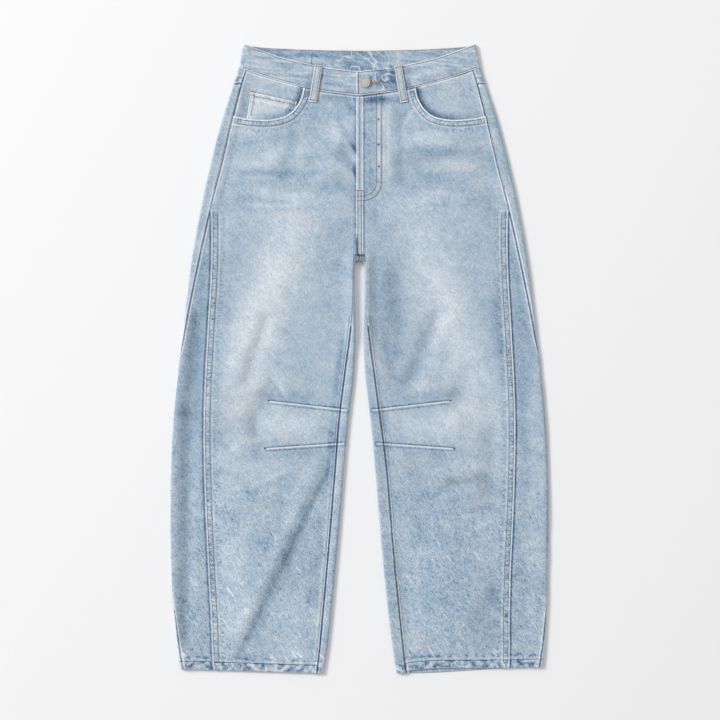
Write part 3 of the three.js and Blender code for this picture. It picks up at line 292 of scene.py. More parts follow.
def ease(start, end, at):
    """0 at start, 1 at end, with soft ends. Start may be above end."""
    t = np.clip((at - start) / (end - start), 0, 1)
    return t * t * (3 - 2 * t)


def bell(at, middle, width):
    return np.exp(-(((at - middle) / width) ** 2))


def rows_of(rows):
    """The rows of a table, each as a dict."""
    count = len(next(iter(rows.values())))
    return [{name: float(values[k]) for name, values in rows.items()} for k in range(count)]


# Shape of the legs
# Distances across are from the centre line, or in from the outer or inner fold
def outer_at(side, y):
    return smooth(OUTLINE, "outer", y) + side * 2.6 * ease(-330, HEM_END, y)


def side_at(y):
    return smooth(OUTLINE, "side", y)


def gore_at(y):
    return smooth(GORE_SEAM, "inset", y)


def inner_at(side, y):
    return smooth(INNER_EDGE, "inner", y) + side * 0.87 * ease(-330, HEM_END, y)


def inseam_at(side, y):
    return smooth(INNER_EDGE, "inseam", y) + side * 2.4 * ease(-60, -200, y)


def seam_x(side, y):
    """Outer edge of the front panel: the side seam, and below its top the gore seam."""
    return outer_at(side, y) - np.where(y > GORE_TOP, side_at(y), gore_at(y))


def inseam_x(side, y):
    return inner_at(side, y) + inseam_at(side, y)


def hem_y(side, across, back=False):
    """Height of the hem at a share of the leg's width, counted from its inner fold."""
    hem = HEM["right" if side < 0 else "left"]
    middle = hem["back"] if back else hem["middle"]
    sag = middle - (hem["inner"] + hem["outer"]) / 2
    across = np.clip(across, 0, 1)
    return mix(hem["inner"], hem["outer"], across) + sag * np.sin(np.pi * np.sqrt(across)) ** 2


def hem_across(side, x):
    inner = inner_at(side, HEM_END)
    return (x - inner) / (outer_at(side, HEM_END) - inner)


def above_hem(side, x, y):
    return y - hem_y(side, hem_across(side, x))


def hem_shift(side, across, level, back=False):
    """How far a plain row moves so that the lowest one is the hem."""
    return (hem_y(side, across, back) - HEM_END) * ease(HEM_FROM, HEM_END, level)


def under_z(side, x, y):
    """Height of the back's underside: flat in the legs, and raised a little in the body."""
    from_fold = outer_at(side, y) - x
    return LIFT * ease(LIFT_FROM_FOLD, LIFT_FULL, from_fold) * ease(178, 190, y)


def lines_z(lines, x, y):
    """Rise or fall of soft folds at points, x signed."""
    total = np.zeros(np.broadcast(x, y).shape)
    for fold in rows_of(lines):
        dx, dy = fold["x1"] - fold["x0"], fold["y1"] - fold["y0"]
        t = np.clip(((x - fold["x0"]) * dx + (y - fold["y0"]) * dy) / (dx * dx + dy * dy), 0, 1)
        away = np.hypot(x - fold["x0"] - t * dx, y - fold["y0"] - t * dy)
        total += fold["rise"] * np.exp(-((away / fold["width"]) ** 2))
    return total


def inner_distance(side, x, y):
    """Distance in from the inner fold and from its round end at the crotch."""
    level = np.minimum(y, CROTCH_FOLD_Y)
    beyond = x - inner_at(side, level)
    arch = np.hypot(np.maximum(0, beyond), y - CROTCH_FOLD_Y)
    return np.where(y < CROTCH_FOLD_Y, beyond, arch)


def inner_roll(y):
    """How much higher than the solid's the soft fold beside the crotch stands, as a share."""
    return 0.72 * ease(-10, 60, y) * ease(240, 175, y)


def form_z(side, x, y):
    """Height of the solid's front outside, with the roll beside the crotch."""
    near_outer = 1 - ease(FOLD_RADIUS, FOLD_FALL, outer_at(side, y) - x)
    near_inner = 1 - ease(FOLD_RADIUS, INNER_FOLD_FALL, inner_distance(side, x, y))
    near = np.maximum(near_outer, near_inner)
    across = ease(LIFT_FROM_FOLD, LIFT_FULL, outer_at(side, y) - x)
    plain = FRONT_HEIGHT + LIFT * across * ease(105, 205, y)
    lifted = mix(plain, np.maximum(plain, FOLD_HEIGHT), near_outer)
    rolled = FOLD_HEIGHT * (1 + inner_roll(y))
    lifted = mix(lifted, np.maximum(lifted, rolled), near_inner)
    folded = lifted + lines_z(FOLDS, side * x, y) * (1 - near)
    return np.maximum(folded, under_z(side, x, y) + 2 * WALL + LAYER_GAP)


def along_line(points, x, y):
    """Distance from a line of points, and how far along it the nearest place lies."""
    best = np.full(np.broadcast(x, y).shape, 1e9)
    along = np.zeros_like(best)
    passed = 0.0
    for (x0, y0), (x1, y1) in zip(points[:-1], points[1:]):
        dx, dy = x1 - x0, y1 - y0
        length = math.hypot(dx, dy)
        t = np.clip(((x - x0) * dx + (y - y0) * dy) / (length * length), 0, 1)
        away = np.hypot(x - x0 - t * dx, y - y0 - t * dy)
        along = np.where(away < best, passed + t * length, along)
        best = np.minimum(best, away)
        passed += length
    return best, along


def run_lengths(points):
    """Length run at each point of a line."""
    return np.concatenate([[0], np.cumsum(np.linalg.norm(np.diff(points, axis=0), axis=1))])


def offset_line(points, away):
    """A line moved sideways, to its right as it runs, by a distance."""
    points = np.array(points, float)
    run = np.gradient(points, axis=0)
    run /= np.linalg.norm(run, axis=1)[:, None]
    return points + away * np.column_stack([run[:, 1], -run[:, 0]])


def scoop_line(side):
    """Pocket edge from the waistband to the side seam, as close points."""
    steps = np.linspace(0, 7, 57)
    points = np.column_stack([smooth(SCOOP, "x", steps), smooth(SCOOP, "y", steps)])
    end = float(seam_x(side, SCOOP_END_Y))
    points[:, 0] += (end - SCOOP_END_X) * ease(195, SCOOP_END_X, points[:, 0])
    return points


def fly_line(away):
    """Outer stitching line of the fly, from the waistband down and round to the centre."""
    width = FLY_WIDTH - 0.6 - away
    end_y = FLY_END_Y + away
    height = FLY_TURN_Y - end_y
    turn = np.linspace(0, math.pi / 2, 12)
    bend_x = FLY_BAND + (width - FLY_BAND) * np.cos(turn)
    bend_y = FLY_TURN_Y - height * np.sin(turn)
    return [(width, 431.5), (width, 360), *zip(bend_x, bend_y)]


def dart_line(side, dart):
    """From the point of a knee dart to the inseam and on to the fold."""
    start = float(inseam_x(side, dart["seam_y"]))
    slope = (dart["seam_y"] - dart["tip_y"]) / (start - dart["tip_x"])
    fold = start - 11
    return [(dart["tip_x"], dart["tip_y"]), (start, dart["seam_y"]),
            (fold, dart["seam_y"] + slope * (fold - start))]


def pucker(along, pitch, depth):
    """Uneven ripple along a seam."""
    return depth * np.sin(2 * np.pi * along / pitch + 1.7 * np.sin(along / 23) + np.sin(along / 7.3))


def round_edge(distance, radius=1.1):
    """Drop of a turned edge where it rolls under."""
    inside = np.clip(radius - distance, 0, radius * 0.98)
    return radius - np.sqrt(radius**2 - inside**2)


def stitched_band(distance, along, first, second, rise, depth):
    """Raised band with a groove at each of its stitch lines, and puckers between them."""
    base = rise * ease(second + STEP + 0.6, second, distance)
    grooves = depth * (bell(distance, first, 0.9) + bell(distance, second, 0.9))
    between = ease(first, first + 1.5, distance) * ease(second + 5, second, distance)
    return base - grooves + between * pucker(along, 6.2, trousers_sizes().pucker / MM)


def hem_relief(phase, above):
    """Turned hem with its roped twist and the groove of its stitching."""
    rope = trousers_sizes().rope / MM * np.sin(phase)
    on_hem = ease(HEM_DEPTH + STEP, HEM_DEPTH - 0.4, above)
    raised = on_hem * (0.95 + rope * ease(-1, 4, above) * ease(HEM_DEPTH, 9, above))
    return raised - 0.4 * bell(above, HEM_STITCH, 0.9)


def fly_relief(x, y):
    """Raised band, stitch grooves and curved inner area of the fly on the left front."""
    band = ease(FLY_BAND + 0.9, FLY_BAND, x)
    on_fly = 1.25 * band - 0.3 * bell(x, 0.4, 0.8) * ease(270, 280, y)
    on_fly = on_fly - 0.3 * (bell(x, -3.0, 0.8) + bell(x, 3.3, 0.8)) * ease(280, 270, y)
    outer, along = along_line(fly_line(0), x, y)
    inner, _ = along_line(fly_line(8.0), x, y)
    low = np.clip((FLY_TURN_Y - y) / (FLY_TURN_Y - FLY_END_Y), 0, 1)
    reach = FLY_BAND + (FLY_WIDTH - FLY_BAND) * np.sqrt(1 - low**2)
    inside = ease(reach + 1.6, reach, x) * (y > FLY_END_Y)
    on_fly += (1 - band) * inside * (0.6 + pucker(y, 9.0, 0.12))
    on_fly -= (1 - band) * 0.3 * (bell(outer, 0, 0.9) + bell(inner, 0, 0.9))
    return on_fly


def front_z(side, x, y):
    """Height of the front panel's cloth, with its seams, hem, darts and creases."""
    sx = side * x
    z = form_z(side, x, y)
    near = ease(4, 16, outer_at(side, y) - x)
    creases = lines_z(CREASES, sx, y) + 0.5 * lines_z(FOLDS, sx, y)
    z = z + trousers_sizes().crease * near * creases
    z = np.maximum(z, 2.7)
    quilt = np.sin(sx / 9.1 + np.sin(y / 23.0)) * np.sin(y / 13.7 + 1.3 * np.sin(sx / 31.0))
    z = z + 0.10 * near * quilt
    lap = seam_x(side, y) - x
    in_body = ease(225, 262, y)
    rise = mix(0.75, 0.55, in_body)
    z = z + stitched_band(lap, y, *GORE_STITCH, rise, mix(0.32, 0.12, in_body))
    z = z + 0.35 * bell(lap, 15.5, 2.6) * ease(60, 200, y) * ease(262, 238, y)
    if side > 0:
        z = z + fly_relief(x, y) * (y > CROTCH_Y - 1)
    inseam = x - inseam_x(side, np.minimum(y, CROTCH_FOLD_Y))
    leg = ease(CROTCH_Y, 150, y)
    band = 0.7 * ease(INSEAM_BAND + STEP, INSEAM_BAND, inseam)
    band -= 0.3 * bell(inseam, INSEAM_STITCH, 0.9)
    band += 0.12 * pucker(y, 7.1, 1.0) * bell(inseam, 7, 4)
    z = z + leg * band
    scoop, scoop_run = along_line(scoop_line(side), x, y)
    near_scoop = y > 370
    scoop_relief = stitched_band(scoop, scoop_run, *SCOOP_STITCH, 0.95, 0.30)
    z = z + np.where(near_scoop, scoop_relief, 0)
    for dart in rows_of(DARTS):
        away, run = along_line(dart_line(side, dart), x, y)
        ridge = 1.25 * bell(away, 0, 2.0) * ease(-2, 5, run)
        ripple = pucker(run, 8.0, 0.16) * bell(away, 5, 4.5) * ease(0, 20, run)
        z = z + ridge + ripple
    above = above_hem(side, x, y)
    z = z + hem_relief(2 * np.pi * (sx / 9.5 + above / 15) + 1.4 * np.sin(sx / 21), above)
    z = z + pucker(sx, 9.5, 0.16) * bell(above, 18, 4)
    edges = np.minimum(lap, np.maximum(above, 0))
    edges = np.minimum(edges, np.where(near_scoop, scoop, FAR))
    edges = np.minimum(edges, np.where(y < CROTCH_FOLD_Y, np.maximum(inseam, 0), FAR))
    if side > 0:
        edges = np.minimum(edges, np.where(y > CROTCH_Y, x + CENTRE_FRONT, FAR))
    return z - round_edge(np.maximum(edges, 0))


def turn_for(inset):
    """Length round the outer fold for a distance in from the outline."""
    size = np.abs(inset)
    curled = FOLD_RADIUS * np.arccos(np.clip(1 - size / FOLD_RADIUS, -1, 1))
    flat = FOLD_RADIUS * np.pi / 2 + size - FOLD_RADIUS
    return np.sign(inset) * np.where(size < FOLD_RADIUS, curled, flat)


def fold_point(side, y, turn, lift=0.0, plain=False):
    """Points round the outer fold. Turn is the length from the outermost line, above 0 on the
    front. Lift moves them off the form. The underside stays on its level."""
    quarter = FOLD_RADIUS * np.pi / 2
    outer = outer_at(side, y)
    flat = np.abs(turn) - quarter
    angle = np.clip(turn / FOLD_RADIUS, -np.pi / 2, np.pi / 2)
    outward = lift * np.clip(0.15 + np.sin(angle), 0, 1)
    reach = FOLD_RADIUS + outward
    x = outer - FOLD_RADIUS + reach * np.cos(angle)
    z = FOLD_RADIUS + reach * np.sin(angle)
    flat_x = outer - FOLD_RADIUS - flat
    front = form_z(side, flat_x, y) + lift
    if not plain:
        front = front + 0.8 * lines_z(CREASES, side * flat_x, y) * ease(4, 16, outer - flat_x)
    back = under_z(side, flat_x, y)
    on_flat = flat > 0
    x = np.where(on_flat, flat_x, x)
    z = np.where(on_flat, np.where(turn > 0, front, back), z)
    return x, z


# Making the cloth
def trousers_sizes():
    return bpy.context.scene.trousers_cloth


def new_object(name, data):
    obj = bpy.data.objects.new(name, data)
    bpy.context.scene.collection.objects.link(obj)
    return obj


def finish_object(bm, name, material, nodes=()):
    """Puts a bmesh in the scene as one piece that rides on the part."""
    mesh = bpy.data.meshes.new(name)
    bm.to_mesh(mesh)
    bm.free()
    mesh.shade_smooth()
    mesh.materials.append(material)
    obj = new_object(name, mesh)
    if nodes:
        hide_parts(*nodes)
    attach(obj, "root")
    return obj


def grid_bmesh(columns, rows, keep=None):
    """Grid whose corners are whole numbers: x is the column and y the row."""
    bm = bmesh.new()
    bmesh.ops.create_grid(bm, x_segments=columns - 1, y_segments=rows - 1, size=0.5)
    scale = Matrix.Diagonal((columns - 1, rows - 1, 1, 1))
    shift = Matrix.Translation(((columns - 1) / 2, (rows - 1) / 2, 0))
    bmesh.ops.transform(bm, matrix=shift @ scale, verts=bm.verts)
    if keep:
        centres = [(face, face.calc_center_median()) for face in bm.faces]
        gone = [face for face, centre in centres if not keep(centre.x, centre.y)]
        bmesh.ops.delete(bm, geom=gone, context="FACES")
    return bm


def place_bmesh(bm, place):
    """Moves a grid's corners to their places. Place gives points in mm and named values."""
    bm.verts.ensure_lookup_table()
    corners = np.rint([vert.co[:2] for vert in bm.verts])
    points, marks = place(corners[:, 0], corners[:, 1])
    for vert, point in zip(bm.verts, np.column_stack(points) * MM):
        vert.co = point
    for name, values in marks.items():
        layer = bm.verts.layers.float.new(name)
        for vert, value in zip(bm.verts, np.broadcast_to(values, len(corners))):
            vert[layer] = value


def point_outward(bm, up):
    """Turns the faces of an open sheet so that on the whole they look up, or down."""
    total = sum(face.normal.z * face.calc_area() for face in bm.faces)
    if (total > 0) != up:
        bmesh.ops.reverse_faces(bm, faces=bm.faces)


def cloth_piece(name, shape, material, nodes, up=True, thickness=None):
    """One sheet of cloth: a grid on the form, given its thickness on the inside. Shape holds
    the grid's columns and rows, its place function and, if it has one, its keep function."""
    columns, rows, place, *keep = shape
    bm = grid_bmesh(columns, rows, *keep)
    place_bmesh(bm, place)
    bm.normal_update()
    point_outward(bm, up)
    obj = finish_object(bm, name, material, nodes)
    wall = obj.modifiers.new("thickness", "SOLIDIFY")
    wall.thickness = thickness * MM if thickness else trousers_sizes().thickness
    wall.offset = -1
    return obj


def spaced(*stretches):
    """Values from the first number down or up through each (end, spacing) in turn."""
    values = [stretches[0]]
    for end, spacing in stretches[1:]:
        count = max(1, round(abs(end - values[-1]) / spacing))
        values += list(np.linspace(values[-1], end, count + 1)[1:])
    return np.array(values)


def wash_and_shade_at(x, y):
    """Painted tone of the wash and of painted shade at points, x signed: paler above 0, bluer below it."""
    tone = np.zeros(np.broadcast(x, y).shape)
    for patch in rows_of(WASH_AND_SHADE):
        lean = math.radians(patch["lean"])
        dx, dy = x - patch["x"], y - patch["y"]
        across = (dx * math.cos(lean) - dy * math.sin(lean)) / patch["across"]
        along = (dx * math.sin(lean) + dy * math.cos(lean)) / patch["along"]
        tone += patch["tone"] * np.exp(-(across**2 + along**2))
    return tone


def fold_shade_and_highlight(x, y):
    """Painted shade in the troughs and painted highlight on the ridges of the folds, x signed."""
    return 0.12 * lines_z(FOLDS, x, y) + 0.20 * lines_z(CREASES, x, y)


MARKS = ("double_seam", "double_run", "single_seam", "dart", "hem", "tone", "crinkle", "shade")


def marks_of(run, tone, shade=0.0, crinkle=0.0, **distances):
    """What the wash follows. Distances from seams are in mm, and far where none is given."""
    marks = {"double_run": run, "tone": tone, "shade": shade, "crinkle": crinkle}
    for name in ("double_seam", "single_seam", "dart", "hem"):
        marks[name] = np.clip(distances.get(name, FAR), 0, FAR)
    return marks


def fold_shade(x, y):
    """Painted shade in the troughs of the folds, x signed."""
    return np.clip(-0.09 * lines_z(FOLDS, x, y) - 0.23 * lines_z(CREASES, x, y), -0.08, 0.38)


def loop_shade(x, y):
    """Shade on the cloth along both edges of the front belt loops, x signed."""
    total = np.zeros(np.broadcast(x, y).shape)
    for loop in rows_of(LOOPS):
        share = (loop["top_y"] - y) / (loop["top_y"] - loop["low_y"])
        beside = np.abs(x - mix(loop["top_x"], loop["low_x"], share))
        total = total + 0.48 * bell(beside, 7.6, 1.3) * (np.abs(share - 0.5) < 0.54)
    return total


def dart_distance(side, x, y):
    lines = [along_line(dart_line(side, dart), x, y) for dart in rows_of(DARTS)]
    faded = [away + FAR * (1 - ease(-2, 3, along)) for away, along in lines]
    return np.clip(np.minimum.reduce(faded), 0, FAR)


def front_marks(side, x, y):
    """Distances that the wash follows on a front panel, in mm."""
    lap = seam_x(side, y) - x
    scoop, run = along_line(scoop_line(side), x, y)
    scoop = np.where(y > 365, scoop, FAR)
    band_edge = smooth(BAND_LOW_FRONT, "y", np.abs(x)) - y
    inseam = np.where(y < CROTCH_Y, x - inseam_x(side, np.minimum(y, CROTCH_FOLD_Y)), FAR)
    inseam = inseam + FAR * ease(50, 110, y)
    on_fly = (y > CROTCH_Y - 2) & (side > 0)
    rise = np.where(on_fly & (x < FLY_BAND), FLY_BAND - x + 1.6, FAR)
    # Painted shade beside the fly band, on the right front and on the left
    beside = -0.8 * bell(x, 6.6, 3.2) * (side < 0) * (y > CROTCH_Y)
    beside = beside + on_fly * (-0.9 * bell(x, 7.2, 1.4) - 0.2 * bell(x, 10, 3) * ease(250, 270, y))
    stitched = on_fly * ease(285, 300, y) * ease(412, 400, y)
    beside = beside + stitched * (0.55 * bell(x, 38.6, 1.2) - 0.35 * bell(x, 41.4, 1.2))
    lapped = np.where(on_fly, x + CENTRE_FRONT + 1.9, FAR) + FAR * ease(205, 192, y)
    side_seam = lap + 0.6 + FAR * ease(256, 240, y)
    single = np.minimum.reduce([inseam, rise, band_edge, lapped, side_seam])
    shade = fold_shade(side * x, y) + loop_shade(side * x, y)
    # Painted shadow along the cross seam at the crotch
    shade = shade + 0.75 * bell(y, CROTCH_Y, 1.4) * ease(10, 8, x)
    # Painted shadow along the centre seam below the fly, where the left front laps over it
    if side > 0:
        shade = shade + 0.8 * bell(x, -CENTRE_FRONT + 0.8, 2.6) * ease(205, 188, y)
    gore_lap = lap + FAR * ease(240, 256, y)
    double = np.where(scoop < gore_lap, scoop + 1.4, gore_lap)
    tone = wash_and_shade_at(side * x, y) + fold_shade_and_highlight(side * x, y) + beside
    return marks_of(
        np.where(scoop < lap, run, y), tone, shade, double_seam=double, single_seam=single,
        dart=dart_distance(side, x, y), hem=above_hem(side, x, y)
    )


EDGE_STEPS = np.array([0, 0.35, 0.8, 1.4, 2.2, 3.0, 3.8, 4.6, 5.6, 7.0, 8.6, 10.2, 11.4, 12.6, 14.0, 16.0])
INNER_STEPS = np.concatenate([EDGE_STEPS, np.arange(17.5, 46, 1.5)])
CENTRE_TUCK = 3.2


def front_place(side):
    """Grid of a front panel. Its rows run from the waistband and pocket edge down to the body
    line, down the body, in a fan round the corner of the crotch, and down the leg."""
    rows_y = spaced(BODY_LINE, (CROTCH_Y + 6, 2.6))
    lower = spaced(155.5, (-62, 2.6), (-92, 1.3), (-132, 2.6), (-158, 1.3), (-488, 2.6), (-516, 1.1))
    arch = 9
    top_rows = 34
    scoop = scoop_line(side)
    lengths = run_lengths(scoop)
    middle = 42
    columns = len(INNER_STEPS) + len(EDGE_STEPS) + middle
    levels = np.concatenate([rows_y, np.zeros(arch), lower])
    start_x = np.zeros(len(levels))
    start_y = levels.copy()
    centre = CENTRE_FRONT - CENTRE_TUCK if side < 0 else -CENTRE_FRONT
    for k, level in enumerate(levels):
        body = k < len(rows_y)
        if body:
            start_x[k] = centre
        elif k < len(rows_y) + arch:
            step = k - len(rows_y) + 1
            levels[k] = mix(rows_y[-1], lower[0], step / (arch + 1))
            along = min(1, step / 5)
            down = max(0, step - 5)
            start_x[k] = mix(centre, CROTCH_CORNER, along) + 0.35 * min(down, 3)
            start_y[k] = CROTCH_Y - 2.65 * down
        else:
            start_x[k] = inseam_x(side, level)
    end_steps = EDGE_STEPS[::-1]

    def across(start, end, column):
        """x for each column between the edges of a row."""
        lead = np.interp(column, np.arange(len(INNER_STEPS)), INNER_STEPS)
        tail = np.interp(column - (columns - len(EDGE_STEPS)), np.arange(len(end_steps)), end_steps)
        share = (column - len(INNER_STEPS) + 1) / (middle + 1)
        inside = mix(start + INNER_STEPS[-1], end - EDGE_STEPS[-1], share)
        low = column <= len(INNER_STEPS) - 1
        high = column >= columns - len(EDGE_STEPS)
        return np.where(low, start + lead, np.where(high, end - tail, inside))

    def place(column, row):
        row = row.astype(int)
        level_row = np.clip(row - top_rows, 0, len(levels) - 1)
        level = levels[level_row]
        y = level.copy()
        first, last = len(rows_y), len(rows_y) + arch
        on_seam = (level_row >= first) & (level_row < first + 5)
        fanned = (level_row >= first) & (level_row < last)
        for _ in range(2):
            x = across(start_x[level_row], seam_x(side, y), column)
            climb = 0.35 * on_seam * (np.minimum(x, CROTCH_CORNER) - start_x[level_row])
            drop = ease(CROTCH_CORNER, CROTCH_CORNER + 34, x)
            y = np.where(fanned, mix(start_y[level_row] + climb, level, drop), level)
        y = y + hem_shift(side, hem_across(side, x), y)
        x = across(start_x[level_row], seam_x(side, y), column)
        # the part above the body line runs from it to the waistband and the pocket edge
        base_x = across(centre, float(seam_x(side, BODY_LINE)), column)
        end_x = float(seam_x(side, BODY_LINE))
        split = 92.0
        share = np.clip((base_x - split) / (end_x - split), 0, 1) * lengths[-1]
        scoop_x = np.interp(share, lengths, scoop[:, 0])
        scoop_y = np.interp(share, lengths, scoop[:, 1])
        on_scoop = base_x > split
        top_x = np.where(on_scoop, scoop_x, base_x)
        band_y = smooth(BAND_LOW_FRONT, "y", np.abs(base_x)) + 0.8
        top_y = np.where(on_scoop, scoop_y, band_y)
        t = np.clip(row / top_rows, 0, 1) ** 1.35
        high_x, high_y = mix(top_x, base_x, t), mix(top_y, BODY_LINE, t)
        top = row < top_rows
        x, y = np.where(top, high_x, x), np.where(top, high_y, y)
        return (side * x, y, front_z(side, x, y)), front_marks(side, x, y)

    return columns, top_rows + len(levels), place


def gore_place(side):
    """Grid of a side gore, from its seam on the front round the fold to its seam below."""
    levels = spaced(GORE_TOP - 2, (-488, 2.8), (-516, 1.2))
    lead = np.array([-8.0, -3.0, -1.5, -0.6, 0.2, 0.8, 1.5, 2.4, 3.6])
    tail = np.array([9.0, 6.6, 4.8, 3.2, 2.2, 1.4, 0.8, 0.35, 0.0])
    middle = 12
    columns = len(lead) + middle + len(tail)

    def place(column, row):
        level = levels[row.astype(int)]
        across = 1 - np.maximum(0, gore_at(level)) / LEG_WIDTH * (column < columns / 2)
        y = level + hem_shift(side, across, level)
        start, end = turn_for(gore_at(y)), turn_for(side_at(y))
        width = np.maximum(start - end, 0.5)
        squeeze = np.minimum(1, width / 22)
        head = np.interp(column, np.arange(len(lead)), lead) * np.where(column < 2, 1, squeeze)
        foot = np.interp(column - (columns - len(tail)), np.arange(len(tail)), tail) * squeeze
        share = (column - len(lead) + 1) / (middle + 1)
        inside = mix(lead[-1] * squeeze, width - tail[0] * squeeze, share)
        first = column <= len(lead) - 1
        last = column >= columns - len(tail)
        away = np.where(first, head, np.where(last, width - foot, inside))
        turn = start - away
        from_side = width - away
        tucked = -0.42 * ease(3.5, 0.5, away) - 0.35 * ease(0.5, -3, away)
        edge = 0.28 * ease(7, 5.5, from_side) - 0.25 * bell(from_side, 6.5, 1.2)
        edge = edge * squeeze - round_edge(np.maximum(from_side, 0), 0.8)
        quilt = 0.10 * np.sin(y / 11.0 + np.sin(away / 6)) * ease(2, 8, away) * ease(2, 8, from_side)
        inset = np.where(turn > 0, turn - FOLD_RADIUS * np.pi / 2 + FOLD_RADIUS, 0)
        above = y - hem_y(side, 1 - np.clip(inset, 0, 200) / LEG_WIDTH)
        hem = hem_relief(2 * np.pi * (away / 9.5 + above / 15), above)
        lift = tucked + edge + quilt + hem - round_edge(np.maximum(above, 0))
        x, z = fold_point(side, y, turn, lift)
        tone = wash_and_shade_at(side * x, y) + fold_shade_and_highlight(side * x, y) - 0.12
        tone -= 0.30 * bell(away, 14, 14) * bell(y, 20, 260)
        tone -= 1.1 * ease(2.8, 0.8, away)
        shade = fold_shade(side * x, y)
        return (side * x, y, z), marks_of(y, tone, shade, single_seam=from_side, hem=above)

    return columns, len(levels), place


def back_tone(side, x, y):
    """Quieter wash of the back, which hardly shows."""
    return wash_and_shade_at(side * x, y) * 0.4 - 0.16 + 0.10 * np.sin(y / 31.0) * np.sin(y / 17.0 + side)


# Fold and seam points of the back where it goes over the crotch between the legs
ARCH = table(
    "share fold_x fold_y seam_x seam_y",
    (0, 0.15, 158.3, 0.15, 168.0), (0.5, 6.0, 157.2, 9.4, 168.0), (1, 8.0, 152.4, 10.5, 160.0),
)
ARCH_TOP = 173.0
ARCH_END = 153.0


def back_rows(side):
    """Rows of a back panel as columns of numbers: its height at the side, then the fold point
    and the seam point at its inner end."""
    rows = []
    for share in np.linspace(1, 0.05, 20):
        centre = mix(BODY_LINE, YOKE_CENTRE_Y - 0.3, share)
        rows.append((mix(BODY_LINE, YOKE_SIDE_Y - 0.3, share), 0.15, centre - FOLD_RADIUS, 0.15, centre))
    low = CROTCH_FOLD_Y + FOLD_RADIUS
    for level in spaced(BODY_LINE, (ARCH_TOP + 2, 2.8)):
        centre = mix(BODY_LINE, low, (BODY_LINE - level) / (BODY_LINE - ARCH_TOP - 2))
        rows.append((level, 0.15, centre - FOLD_RADIUS, 0.15, centre))
    body = len(rows)
    for share in np.linspace(0, 1, 9):
        points = [float(smooth(ARCH, name, share)) for name in ("fold_x", "fold_y", "seam_x", "seam_y")]
        rows.append((mix(ARCH_TOP, ARCH_END, share), *points))
    for level in spaced(149.5, (-62, 2.8), (-160, 1.9), (-488, 2.8), (-516, 1.6)):
        inner, seam = float(inner_at(side, level)), float(inseam_x(side, level))
        rows.append((level, inner, level, seam, level))
    return body, np.array(rows)


